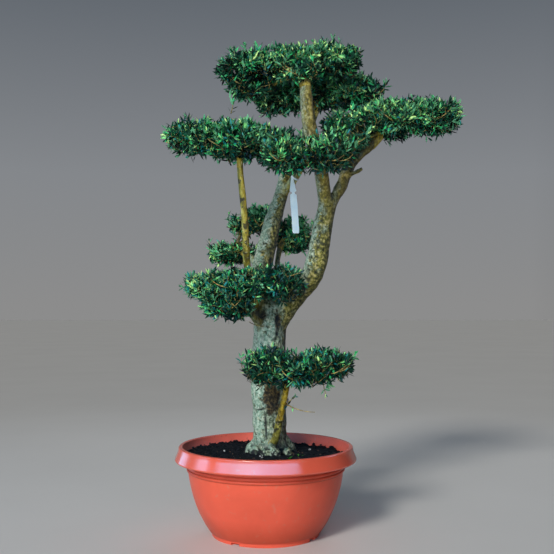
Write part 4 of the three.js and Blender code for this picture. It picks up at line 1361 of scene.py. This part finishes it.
def tag_strap(bough, hang):
    """The tag's strap: a flat closed band round the bough, from 0.4 to 1.2 mm off its bark."""
    strap = np.linspace(hang - STRAP_WIDTH / 2 * MM, hang + STRAP_WIDTH / 2 * MM, 5)
    angle = np.linspace(0, 2 * math.pi, STRAP_SIDES, endpoint=False)[None, :]
    across, upward = (a[:, None] for a in bough.frame_at(strap))
    turn = np.cos(angle)[..., None] * across + np.sin(angle)[..., None] * upward
    middle = bough.point(strap)[:, None]
    grow = bough.radius(strap[:, None], angle)[..., None]
    outer = middle + turn * (grow + 1.2 * MM)
    inner = middle + turn * (grow + 0.4 * MM)
    loop = np.concatenate([outer, inner[::-1]])
    faces = grid_faces(len(loop) + 1, STRAP_SIDES)
    points = loop.reshape(-1, 3)
    return points, [np.where(faces >= len(points), faces - len(points), faces)]


# Materials


def feed(tree, node, socket, value):
    """Sets a socket to a value or hex colour, or links it to a pair of node and output."""
    if isinstance(value, tuple) and isinstance(value[0], bpy.types.Node):
        tree.links.new(value[0].outputs[value[1]], node.inputs[socket])
    elif isinstance(value, str):
        node.inputs[socket].default_value = to_linear(value)
    else:
        node.inputs[socket].default_value = value


def add_node(tree, kind, inputs=None, **settings):
    """Adds a node: settings are its properties, inputs its sockets' values or links."""
    node = tree.nodes.new(kind)
    for name, value in settings.items():
        setattr(node, name, value)
    for socket, value in (inputs or {}).items():
        feed(tree, node, socket, value)
    return node


def new_material(name, viewport, inputs):
    """A material with its tree, its Principled shader, and a link to each spot's coordinates."""
    material = bpy.data.materials.new(name)
    material.use_nodes = True
    material.diffuse_color = to_linear(viewport)
    tree = material.node_tree
    shader = tree.nodes["Principled BSDF"]
    for socket, value in inputs.items():
        shader.inputs[socket].default_value = value
    return material, tree, shader, (add_node(tree, "ShaderNodeTexCoord"), "Object")


def ramp(tree, source, stops):
    """A colour ramp over a value, with its stops as place and hex colour."""
    node = add_node(tree, "ShaderNodeValToRGB", {"Fac": source})
    elements = node.color_ramp.elements
    while len(elements) < len(stops):
        elements.new(0.5)
    for element, (place, code) in zip(elements, stops):
        element.position = place
        element.color = to_linear(code)
    return (node, "Color")


def noise(tree, vector, size_mm, detail, distortion=0.0):
    """Noise whose features are about size_mm across."""
    inputs = {
        "Vector": vector, "Scale": 0.5 / (size_mm * MM), "Detail": detail,
        "Distortion": distortion,
    }
    return (add_node(tree, "ShaderNodeTexNoise", inputs), "Fac")


def mix_colour(tree, factor, first, second):
    """Two colours mixed; each is a link or a hex code."""
    inputs = {0: factor, 6: first, 7: second}
    return (add_node(tree, "ShaderNodeMix", inputs, data_type="RGBA"), 2)


def share_between(tree, value, low, high, to_low=0.0, to_high=1.0):
    """A value's place between two limits, as a share; each limit is a number or a link."""
    inputs = {
        "Value": value, "From Min": low, "From Max": high, "To Min": to_low, "To Max": to_high,
    }
    return (add_node(tree, "ShaderNodeMapRange", inputs), "Result")


def worked_out(tree, operation, first, second):
    """A sum, product or other plain operation on two values."""
    return (add_node(tree, "ShaderNodeMath", {0: first, 1: second}, operation=operation), "Value")


def stretched(tree, place, share):
    """Coordinates with their height at that share, so that marks on them grow tall."""
    inputs = {"Vector": place, "Scale": (1, 1, share)}
    return (add_node(tree, "ShaderNodeMapping", inputs), "Vector")


def shaded(tree, colour, value):
    """A colour made brighter or darker by a value."""
    inputs = {"Color": colour, "Value": value}
    return (add_node(tree, "ShaderNodeHueSaturation", inputs), "Color")


def roughen(tree, shader, source, strength, depth_mm):
    """Gives the shader a bump from a value, as deep as that at full strength."""
    inputs = {"Height": source, "Strength": strength, "Distance": depth_mm * MM}
    feed(tree, shader, "Normal", (add_node(tree, "ShaderNodeBump", inputs), "Normal"))


# Colours of bark, from its darkest spots to its palest
YOUNG_GREEN = [(0.36, "#2c370d"), (0.47, "#5f6c26"), (0.57, "#869247"), (0.7, "#b6bd86")]
YOUNG_OCHRE = [(0.36, "#5c4a06"), (0.47, "#978008"), (0.57, "#bfa41e"), (0.7, "#dac868")]
BARE_BARK = [(0.33, "#1e241a"), (0.42, "#5a6c54"), (0.52, "#90a68e"), (0.66, "#cad8c4")]
MOSS = [(0.37, "#1c200c"), (0.45, "#56581e"), (0.52, "#878530"), (0.61, "#c6bd78")]
LICHEN = [(0.34, "#6f9684"), (0.5, "#9cc0ae"), (0.66, "#d0e4d8")]
BROWN_WOOD = [(0.36, "#0b0a05"), (0.5, "#332b14"), (0.66, "#6b5a32")]


def young_bark(tree, place, shares, fine):
    """Young bark's colour: smooth, olive green to yellow-ochre, with round dark corky spots."""
    streak = noise(tree, stretched(tree, place, 0.3), 8, 4)
    green = ramp(tree, streak, YOUNG_GREEN)
    ochre = ramp(tree, streak, YOUNG_OCHRE)
    colour = mix_colour(tree, (shares, "Red"), green, ochre)
    spots = share_between(tree, noise(tree, place, 9, 1), 0.59, 0.63)
    off_moss = share_between(tree, (shares, "Red"), 0.95, 0.6, 0.0, 0.85)
    colour = mix_colour(tree, worked_out(tree, "MULTIPLY", spots, off_moss), colour, "#191609")
    specks = share_between(tree, fine, 0.6, 0.7, 0.0, 0.7)
    return mix_colour(tree, specks, colour, "#c4c08c")


def old_bark(tree, place, shares, fine):
    """Old bark's colour: mottled grey-green, with moss, crusts of lichen and brown patches."""
    middle = noise(tree, stretched(tree, place, 0.7), 4.5, 4)
    broad = noise(tree, place, 16, 5, 0.3)
    bare = ramp(tree, middle, BARE_BARK)

    # Moss, from black-olive to ochre
    most = worked_out(tree, "MULTIPLY", middle, 0.6)
    rest = worked_out(tree, "MULTIPLY", fine, 0.4)
    moss = ramp(tree, worked_out(tree, "ADD", most, rest), MOSS)
    edge = worked_out(tree, "SUBTRACT", 0.76, worked_out(tree, "MULTIPLY", (shares, "Red"), 0.5))
    mossy = share_between(tree, broad, edge, worked_out(tree, "ADD", edge, 0.16))
    colour = mix_colour(tree, mossy, bare, moss)

    # Crusts of pale lichen
    patchy = noise(tree, place, 8, 6, 0.6)
    edge = worked_out(tree, "SUBTRACT", 0.72, worked_out(tree, "MULTIPLY", (shares, "Green"), 0.36))
    crusted = share_between(tree, patchy, edge, worked_out(tree, "ADD", edge, 0.1), 0.0, 0.9)
    colour = mix_colour(tree, crusted, colour, ramp(tree, fine, LICHEN))

    # Brown wood where old bark has split away
    return mix_colour(tree, (shares, "Blue"), colour, ramp(tree, fine, BROWN_WOOD))


def bark_material():
    """Olive bark: dull, old and mottled or young and smooth, with dark pits, and black painted
    shade in creases.

    Its real flecks, about a millimetre wide, are drawn 2.6 mm wide so that they show.
    """
    material, tree, shader, place = new_material("Olive bark", "#7f8a6c", {"Roughness": 0.8})
    tone = add_node(tree, "ShaderNodeVertexColor", layer_name="bark_tone")
    shares = add_node(tree, "ShaderNodeSeparateColor", {"Color": (tone, "Color")})
    youth = (add_node(tree, "ShaderNodeAttribute", attribute_name="bark_youth"), "Fac")
    fine = noise(tree, place, 4.5, 4)
    old = old_bark(tree, place, shares, fine)
    colour = mix_colour(tree, youth, old, young_bark(tree, place, shares, fine))
    pits = share_between(tree, noise(tree, place, 5, 4, 0.6), 0.61, 0.69, 0.0, 0.8)
    flecks = share_between(tree, noise(tree, place, 2.6, 2), 0.57, 0.67, 0.0, 0.6)
    marks = worked_out(tree, "MAXIMUM", pits, flecks)
    marks = worked_out(tree, "MULTIPLY", marks, share_between(tree, youth, 0.0, 1.0, 1.0, 0.4))
    # Painted shade from the attribute's alpha, in creases, knots and hollows, joins the dark marks
    dark = worked_out(tree, "MAXIMUM", marks, (tone, "Alpha"))
    feed(tree, shader, "Base Color", mix_colour(tree, dark, colour, "#100e08"))
    roughen(tree, shader, noise(tree, place, 5, 5, 0.5), 1.0, 2.4)
    return material


def twig_material():
    """Olive twig: thin smooth bark with little shine, in stretches of brown and pale ochre."""
    material, tree, shader, place = new_material("Olive twig", "#97803a", {"Roughness": 0.6})
    colour = ramp(tree, noise(tree, place, 7, 3), [(0.35, "#6b5a22"), (0.65, "#c9b468")])
    feed(tree, shader, "Base Color", colour)
    return material


# Leaf tints, dealt out by painted light: from painted deep shade up to painted sunlight and the
# yellow of young leaves, and two painted reflections of blue sky, bright and in shade
LEAF_TINTS = [
    ("deep shade", "#010b06"), ("dark", "#052a1b"), ("full green", "#116943"),
    ("bright green", "#36bc70"), ("sunlit", "#86e48c"), ("young yellow", "#c6f89c"),
    ("sky gloss", "#1c8682"), ("shaded gloss", "#083a3e"),
]
UNDERSIDES = [("shaded felt", "#154733"), ("silver felt", "#66b184")]


def leaf_material(name, code, gloss):
    """Olive leaf: a leathery waxed upper face that glints, or a dull felted underside."""
    inputs = {"Roughness": 0.4 if gloss else 0.75, "Specular IOR Level": 0.35 if gloss else 0.2}
    material, tree, shader, place = new_material(f"Olive leaf {name}", code, inputs)
    value = share_between(tree, noise(tree, place, 7, 2), 0.3, 0.7, 0.7, 1.25)
    feed(tree, shader, "Base Color", shaded(tree, code, value))
    return material


def pot_zones(tree, place):
    """Each spot's height, its distance from the axis, and its share in the bare inner wall."""
    height = (add_node(tree, "ShaderNodeSeparateXYZ", {"Vector": place}), "Z")
    flat = add_node(tree, "ShaderNodeVectorMath", {0: place, 1: (1, 1, 0)}, operation="MULTIPLY")
    length = add_node(tree, "ShaderNodeVectorMath", {0: (flat, "Vector")}, operation="LENGTH")
    radius = (length, "Value")
    above_soil = share_between(tree, height, (SOIL_LEVEL - 12) * MM, SOIL_LEVEL * MM)
    within = share_between(tree, radius, (CREST_RADIUS - 8) * MM, (CREST_RADIUS - 12) * MM)
    return height, radius, worked_out(tree, "MULTIPLY", above_soil, within)


def pot_colour(tree, place, zones, colour):
    """Plastic colour: flow marks, dust, soil on the inner wall, painted shade on the ribs and low
    down.
    """
    height, radius, inner_wall = zones
    flow = share_between(tree, noise(tree, place, 70, 4, 0.5), 0.3, 0.7, 0.9, 1.08)
    plastic = shaded(tree, tuple(colour), flow)
    dusty = share_between(tree, noise(tree, place, 9, 6, 0.3), 0.6, 0.72, 0.0, 0.3)
    look = mix_colour(tree, dusty, plastic, "#c48a76")
    crumbs = share_between(tree, noise(tree, place, 4, 4), 0.62, 0.7, 0.0, 0.3)
    look = mix_colour(tree, worked_out(tree, "MULTIPLY", crumbs, inner_wall), look, "#3a241c")
    # Painted shade under the rim and between the ribs, on the outside only
    low, high = RIB_BAND
    painted_rib_shade = ramp(tree, share_between(tree, height, low * MM, high * MM), RIB_SHADE)
    outside = share_between(tree, radius, (NECK_RADIUS - 6) * MM, (NECK_RADIUS - 4) * MM)
    look = mix_colour(tree, worked_out(tree, "MULTIPLY", painted_rib_shade, outside), look, "#7a2a0e")

    # Painted shade, darker towards the bottom of the side, but not on the foot ring
    low_shade = share_between(tree, height, LOW_SHADE_HEIGHT * MM, (FOOT_HEIGHT + 2) * MM, 0.0, 0.45)
    look = mix_colour(tree, low_shade, look, "#8c3a1c")
    foot_ring = share_between(tree, height, (FOOT_HEIGHT + 1) * MM, (FOOT_HEIGHT - 1) * MM)
    return mix_colour(tree, foot_ring, look, plastic)


def pot_material(name, colour, level, rough):
    """Injection-moulded polypropylene: even, with faint flow marks, scuffs and settled dust.

    The bowl's side has the soft sheen of a fine-grained mould, and its rim is polished and wet.
    """
    inputs = {"IOR": 1.49, "Specular IOR Level": level}
    material, tree, shader, place = new_material(name, "#e75f4b", inputs)
    zones = pot_zones(tree, place)
    feed(tree, shader, "Base Color", pot_colour(tree, place, zones, colour))
    scuffs = share_between(tree, noise(tree, place, 40, 5), 0.35, 0.7, rough, rough + 0.16)
    dull_wall = worked_out(tree, "MULTIPLY", zones[2], 0.6)
    feed(tree, shader, "Roughness", worked_out(tree, "MAXIMUM", scuffs, dull_wall))
    roughen(tree, shader, noise(tree, place, 3, 2), 0.05, 0.3)
    return material


def soil_material():
    """Moist potting soil: near-black crumbs, a little blue on top, that hardly shine."""
    inputs = {"Roughness": 0.9, "Specular IOR Level": 0.25}
    material, tree, shader, place = new_material("Moist potting soil", "#1c1816", inputs)
    crumbs = noise(tree, place, 5, 6)
    colour = ramp(tree, crumbs, [(0.35, "#020204"), (0.55, "#0a0c13"), (0.75, "#20212b")])
    feed(tree, shader, "Base Color", colour)
    roughen(tree, shader, crumbs, 1.0, 3)
    return material


def stone_material(name, dark, pale, rough):
    """Bark chip or pebble: two tones of its own, dull."""
    material, tree, shader, place = new_material(name, pale, {"Roughness": rough})
    colour = ramp(tree, noise(tree, place, 5, 3), [(0.38, dark), (0.62, pale)])
    feed(tree, shader, "Base Color", colour)
    return material


def tag_material():
    """White polyethylene label: slightly see-through at its edge, with a soft gloss."""
    inputs = {"Roughness": 0.4, "Subsurface Weight": 0.1, "Subsurface Radius": (2 * MM,) * 3}
    material, tree, shader, place = new_material("White polyethylene", "#eef2f5", inputs)
    # Painted light: the white plastic is tinted pale blue, in soft patches, for the blue sky's
    # light on it
    wear_and_sky_tint = ramp(tree, noise(tree, place, 12, 3), [(0.3, "#cfeafa"), (0.7, "#e2f6ff")])
    feed(tree, shader, "Base Color", wear_and_sky_tint)
    return material


def stage_material(colour):
    """Matt pale studio floor, with a very faint cloudiness."""
    inputs = {"Roughness": 0.9}
    material, tree, shader, place = new_material("Pale studio floor", "#d9dbdc", inputs)
    value = share_between(tree, noise(tree, place, 400, 3), 0.3, 0.7, 0.98, 1.02)
    feed(tree, shader, "Base Color", shaded(tree, tuple(colour), value))
    return material


# Stage


def lay_floor(context, colour):
    """The studio's floor: a wide flat square under the pot."""
    low, high = -FLOOR_REACH, FLOOR_REACH
    corners = [(low, low, 0), (high, low, 0), (high, high, 0), (low, high, 0)]
    mesh = bpy.data.meshes.new("studio_floor")
    mesh.from_pydata(corners, [], [(0, 1, 2, 3)])
    mesh.materials.append(stage_material(colour))
    floor = bpy.data.objects.new("studio_floor", mesh)
    context.collection.objects.link(floor)


def point_lamp(context, name, lamp, place, aim):
    """Hangs a lamp at its place, turned so that it shines along the aim."""
    holder = bpy.data.objects.new(name, lamp)
    holder.location = place
    context.collection.objects.link(holder)
    yaw = math.atan2(aim[0], -aim[1])
    pitch = math.atan2(math.hypot(aim[0], aim[1]), -aim[2])
    holder.rotation_euler = (pitch, 0, yaw + math.pi)
    return holder


def hang_softboxes(context, strength):
    """Every softbox, lighting the pieces either by mirrored light or by plain light."""
    for name, bearing, distance, height, size, radiance, colour, use in SOFTBOXES:
        lamp = bpy.data.lights.new(name, "AREA")
        lamp.shape = "RECTANGLE"
        lamp.size, lamp.size_y = size
        lamp.energy = strength * radiance * math.pi * size[0] * size[1]
        lamp.color = to_linear(colour)[:3]
        if use == "plain":
            lamp.spread = math.radians(GRID_DEG)
        turn = math.radians(bearing)
        place = np.array([distance * math.sin(turn), -distance * math.cos(turn), height])
        holder = point_lamp(context, name, lamp, place, np.array(LAMP_AIM) - place)
        holder.visible_diffuse = use == "plain"
        holder.visible_glossy = use == "mirrored"


def hang_sun(context, strength):
    """The soft sun."""
    sun = bpy.data.lights.new("sun", "SUN")
    sun.energy = strength
    sun.angle = math.radians(SUN_SPREAD_DEG)
    sun.color = to_linear(SUN_COLOUR)[:3]
    point_lamp(context, "sun", sun, np.array(SUN_FROM) * 4, -np.array(SUN_FROM))


def set_even_light(context, strength):
    """The backdrop, whose light is weaker from the front and much weaker from the right."""
    world = bpy.data.worlds.new("studio")
    world.use_nodes = True
    tree = world.node_tree
    background = tree.nodes["Background"]
    direction = (add_node(tree, "ShaderNodeTexCoord"), "Generated")
    axes = add_node(tree, "ShaderNodeSeparateXYZ", {"Vector": direction})
    rise = share_between(tree, (axes, "Z"), 0.0, 0.5)
    feed(tree, background, "Color", ramp(tree, rise, BACKDROP))
    front = share_between(tree, (axes, "Y"), -0.4, 0.3, 0.6, 1.0)
    right = share_between(tree, (axes, "X"), 0.3, 0.8, strength, 0.18 * strength)
    feed(tree, background, "Strength", worked_out(tree, "MULTIPLY", front, right))
    context.scene.world = world


def set_camera(context):
    """The photograph's eye as the scene's camera."""
    lens = bpy.data.cameras.new("photo_eye")
    lens.sensor_width = 36
    lens.lens = LENS_MM
    camera = bpy.data.objects.new("photo_eye", lens)
    camera.location = EYE
    camera.rotation_euler = (math.radians(90 + TILT_DEG), 0, math.radians(TURN_DEG))
    context.collection.objects.link(camera)
    context.scene.camera = camera


# Settings and operators


class OliveLimbSettings(bpy.types.PropertyGroup):
    """Sizes of the bark."""

    voxel: FloatProperty(
        name="Skin step", description="Width of the bark mesh's quads", default=0.0033, min=0.002,
        subtype="DISTANCE", unit="LENGTH",
    )
    relief: FloatProperty(
        name="Relief", description="Strength of the bark's swellings and cracks", default=1.0,
        min=0.0,
    )


class OliveFoliageSettings(bpy.types.PropertyGroup):
    """Sizes of the leaves and how close the shoots stand."""

    leaf_length: FloatProperty(
        name="Leaf length", description="Length of a full-grown leaf", default=0.0256, min=0.01,
        subtype="DISTANCE", unit="LENGTH",
    )
    leaf_width: FloatProperty(
        name="Leaf width", description="Width of a full-grown leaf", default=0.007, min=0.002,
        subtype="DISTANCE", unit="LENGTH",
    )
    shoot_spacing: FloatProperty(
        name="Shoot spacing", description="Distance between leafy shoots", default=0.0167, min=0.01,
        subtype="DISTANCE", unit="LENGTH",
    )
    seed: IntProperty(name="Seed", description="First seed of the masses", default=100, min=0)


class OlivePotSettings(bpy.types.PropertyGroup):
    """Looks of the pot and the soil in it."""

    colour: FloatVectorProperty(
        name="Pot colour", description="Colour of the moulded plastic",
        default=to_linear("#e3624c"), size=4, subtype="COLOR", min=0.0, max=1.0,
    )
    clod_height: FloatProperty(
        name="Clod height", description="Height of the soil's lumps", default=0.004, min=0.0,
        subtype="DISTANCE", unit="LENGTH",
    )


class OliveStageSettings(bpy.types.PropertyGroup):
    """Floor and light."""

    floor: FloatVectorProperty(
        name="Floor colour", description="Colour of the studio floor", default=to_linear("#dcdee0"),
        size=4, subtype="COLOR", min=0.0, max=1.0,
    )
    sun: FloatProperty(
        name="Sun", description="Strength of the soft sun from the front left", default=1.7,
        min=0.0,
    )
    softbox: FloatProperty(
        name="Softboxes", description="Brightness of all the softboxes", default=1.0, min=0.0,
    )
    sky: FloatProperty(
        name="Sky light", description="Strength of the even light all round", default=1.0, min=0.0,
    )


class OLIVE_OT_limbs(bpy.types.Operator):
    """Grow the trunk and boughs with their bark"""

    bl_idname = "olive.limbs"
    bl_label = "Trunk and boughs"

    def execute(self, context):
        settings = context.scene.olive_limbs
        stretches = grown_limbs()
        bark = bark_material()
        for name in LIMBS:
            points, quads, tones, painted_shade = limb_surface(name, stretches, settings)
            piece = mesh_piece(f"{name}_bark", points, quads, [bark], replaces=[name])
            paint_bark(piece, tones, painted_shade)
        return {"FINISHED"}


class OLIVE_OT_foliage(bpy.types.Operator):
    """Grow the boughs, twigs and leaves of every mass"""

    bl_idname = "olive.foliage"
    bl_label = "Foliage masses"

    def execute(self, context):
        settings = context.scene.olive_foliage
        stretches = grown_limbs()
        bark = bpy.data.materials.get("Olive bark") or bark_material()
        twig = twig_material()
        tints = [leaf_material(name, code, True) for name, code in LEAF_TINTS]
        tints += [leaf_material(name, code, False) for name, code in UNDERSIDES]
        obstacles = [limb.beads(start, end) for limb, start, end in stretches.values()]
        carriers = [name for name in LIMBS if "carries" in LIMBS[name]]
        for index, carrier in enumerate(carriers):
            name = LIMBS[carrier]["carries"]
            limb, _, end = stretches[carrier]
            growth = grow_mass(name, limb, end, obstacles, settings, settings.seed + index)
            points, faces = join(growth.boughs)
            piece = mesh_piece(
                f"{name}_boughs", points, faces, [bark], replaces=[name]
            )
            paint_bark(piece, np.tile(BRANCHLET_TONE, (len(points), 1)), np.zeros(len(points)))
            points, faces = join(growth.twigs)
            mesh_piece(f"{name}_twigs", points, faces, [twig], replaces=[name])
            points, faces, slots = leaf_surfaces(growth, settings.leaf_width)
            mesh_piece(
                f"{name}_leaves", points, faces, tints, slots, smooth=False, replaces=[name],
            )
        return {"FINISHED"}


class OLIVE_OT_pot(bpy.types.Operator):
    """Turn the moulded bowl pot"""

    bl_idname = "olive.pot"
    bl_label = "Pot"

    def execute(self, context):
        settings = context.scene.olive_pot
        plain = np.linspace(-180, 180, POT_SIDES, endpoint=False)
        half = math.degrees(NOTCH_WIDTH / 2 / FOOT_RADIUS)
        edges = [
            angle + side * (half + gap)
            for angle in NOTCH_ANGLES for side in (-1, 1) for gap in (-0.05, 0.05)
        ]
        degrees = np.unique(np.concatenate([plain, edges]))
        profile = np.concatenate([pot_outside(), pot_inside()])
        points, faces = turned(profile, np.radians(degrees))
        rings = len(profile) - 2
        grid = points[: rings * len(degrees)].reshape(rings, len(degrees), 3)
        in_notch = np.any([np.abs(degrees - angle) < half for angle in NOTCH_ANGLES], axis=0)
        low = (profile[1:-1, 1] < NOTCH_HEIGHT) & (profile[1:-1, 0] > FOOT_RADIUS - 12)
        low[rings // 2 :] = False
        lifted = low[:, None] & in_notch[None, :]
        grid[..., 2] = np.where(lifted, np.maximum(grid[..., 2], NOTCH_HEIGHT * MM), grid[..., 2])
        body = pot_material("Moulded terracotta polypropylene", settings.colour, 0.14, 0.3)
        rim = pot_material("Polished terracotta polypropylene", settings.colour, 0.9, 0.1)
        heights = np.concatenate([points[group, 2].mean(axis=1) for group in faces])
        slots = heights > (RIM_BOTTOM - 9) * MM
        piece = mesh_piece(
            "bowl_pot", points, faces, [body, rim], slots, replaces=["pot"]
        )
        piece.data.set_sharp_from_angle(angle=math.radians(40))
        return {"FINISHED"}


class OLIVE_OT_soil(bpy.types.Operator):
    """Fill the pot with soil, crumbs, pebbles and small weeds"""

    bl_idname = "olive.soil"
    bl_label = "Soil"

    def execute(self, context):
        settings = context.scene.olive_pot
        clod = settings.clod_height
        points, faces = soil_body(clod)
        soil = soil_material()
        mesh_piece("potting_soil", points, faces, [soil], replaces=["soil"])

        rng = np.random.default_rng(SOIL_SEED)
        self.scatter("soil_crumbs", CRUMBS, (1.6, 5.5), soil, clod, rng)
        bark_chips = stone_material("Bark chips", "#1d120c", "#5a4232", 0.85)
        self.scatter("soil_chips", CHIPS, (1.5, 4.0), bark_chips, clod, rng)
        pebbles = stone_material("Pale pebbles", "#8f9298", "#cfd6dd", 0.6)
        places = np.array(PEBBLES) * MM
        places[:, 2] = soil_height(places, clod) + 1.5 * MM
        points, faces = lumps(places, np.linspace(3.2, 5.0, len(places)) * MM, rng)
        mesh_piece("soil_pebbles", points, faces, [pebbles], replaces=["soil"])
        self.weeds(clod, rng)
        return {"FINISHED"}

    def scatter(self, name, count, sizes, material, clod, rng):
        """Crumbs strewn evenly from the trunk's foot to the wall, more of them along the wall."""
        spread = SOIL_RADIUS * np.sqrt(rng.uniform(0.08, 1.0, count))
        spread[: count // 4] = rng.uniform(SOIL_RADIUS - 16, SOIL_RADIUS - 3, count // 4)
        around = rng.uniform(0, 2 * math.pi, count)
        places = spread[:, None] * level_directions(around) * MM
        half = rng.uniform(*sizes, count) * MM
        places[:, 2] = soil_height(places, clod) + 0.3 * half
        points, faces = lumps(places, half, rng)
        mesh_piece(name, points, faces, [material], replaces=["soil"])

    def weeds(self, clod, rng):
        """Two seedlings: rosettes of small leaves that rise from one spot."""
        spots = np.repeat(np.array(WEEDS) * MM, WEED_LEAVES, axis=0)
        spots[:, 2] = soil_height(spots, clod) - 0.5 * MM
        around = rng.uniform(0, 2 * math.pi, len(spots))
        outward = level_directions(around)
        heading = unit(outward + UP * rng.uniform(0.35, 1.6, (len(spots), 1)))
        long = rng.uniform(9, 17, len(spots)) * MM
        face = unit(UP - 0.2 * outward)
        curl = np.full(len(spots), 0.2)
        points, faces = leaf_blades(spots, heading, face, long, 0.16 * long, curl)
        green = leaf_material("seedling", "#4fa33a", False)
        mesh_piece(
            "weeds", points, faces.reshape(-1, 3), [green], smooth=False, replaces=["soil"],
        )


class OLIVE_OT_tag(bpy.types.Operator):
    """Hang the bare plastic tag on the centre bough"""

    bl_idname = "olive.tag"
    bl_label = "Tag"

    def execute(self, context):
        bough = grown_limbs()["centre_bough"][0]
        hang = TAG_HANGS_AT * MM
        centre = bough.point(np.array([hang]))[0]
        along = bough.tangent(np.array([hang]))[0]
        forward = np.array([-1.0, -1.0, 0.0])
        forward = unit(forward - along * (forward @ along))
        anchor = centre + forward * (bough.radius(hang, 0.0) + 0.8 * MM)
        points, faces = join([tag_plate(anchor), tag_strap(bough, hang)])
        white = [tag_material()]
        piece = mesh_piece("plant_tag", points, faces, white, replaces=["tag"])
        piece.data.set_sharp_from_angle(angle=math.radians(35))
        return {"FINISHED"}


class OLIVE_OT_stage(bpy.types.Operator):
    """Lay the floor and set the light and the camera"""

    bl_idname = "olive.stage"
    bl_label = "Stage"

    def execute(self, context):
        settings = context.scene.olive_stage
        lay_floor(context, settings.floor)
        hang_softboxes(context, settings.softbox)
        hang_sun(context, settings.sun)
        set_even_light(context, settings.sky)
        context.scene.view_settings.view_transform = "Standard"
        set_camera(context)
        return {"FINISHED"}


class OLIVE_PT_panel(bpy.types.Panel):
    """Lists the settings and the pieces"""

    bl_label = "Olive bonsai"
    bl_idname = "OLIVE_PT_panel"
    bl_space_type = "VIEW_3D"
    bl_region_type = "UI"
    bl_category = "Olive"

    def draw(self, context):
        """Draws a box for each step, with its button and its settings."""
        for operator, group, names in STEPS:
            box = self.layout.box()
            box.operator(operator)
            for name in names:
                box.prop(getattr(context.scene, group), name)


STEPS = [
    ("olive.stage", "olive_stage", ("floor", "sun", "softbox", "sky")),
    ("olive.pot", "olive_pot", ("colour",)),
    ("olive.soil", "olive_pot", ("clod_height",)),
    ("olive.limbs", "olive_limbs", ("voxel", "relief")),
    ("olive.foliage", "olive_foliage", ("leaf_length", "leaf_width", "shoot_spacing", "seed")),
    ("olive.tag", "olive_pot", ()),
]
GROUPS = {
    "olive_limbs": OliveLimbSettings,
    "olive_foliage": OliveFoliageSettings,
    "olive_pot": OlivePotSettings,
    "olive_stage": OliveStageSettings,
}
OPERATORS = [
    OLIVE_OT_limbs, OLIVE_OT_foliage, OLIVE_OT_pot, OLIVE_OT_soil, OLIVE_OT_tag, OLIVE_OT_stage,
]


def register():
    """Registers the classes and hangs the settings on the scene."""
    for cls in [*GROUPS.values(), *OPERATORS, OLIVE_PT_panel]:
        bpy.utils.register_class(cls)
    for name, group in GROUPS.items():
        setattr(bpy.types.Scene, name, PointerProperty(type=group))


def unregister():
    """Takes back what register did."""
    for name in GROUPS:
        delattr(bpy.types.Scene, name)
    for cls in reversed([*GROUPS.values(), *OPERATORS, OLIVE_PT_panel]):
        bpy.utils.unregister_class(cls)


def main():
    """Builds every piece in order."""
    register()
    for operator, _, _ in STEPS:
        area, name = operator.split(".")
        getattr(getattr(bpy.ops, area), name)()


if __name__ == "__main__":
    main()
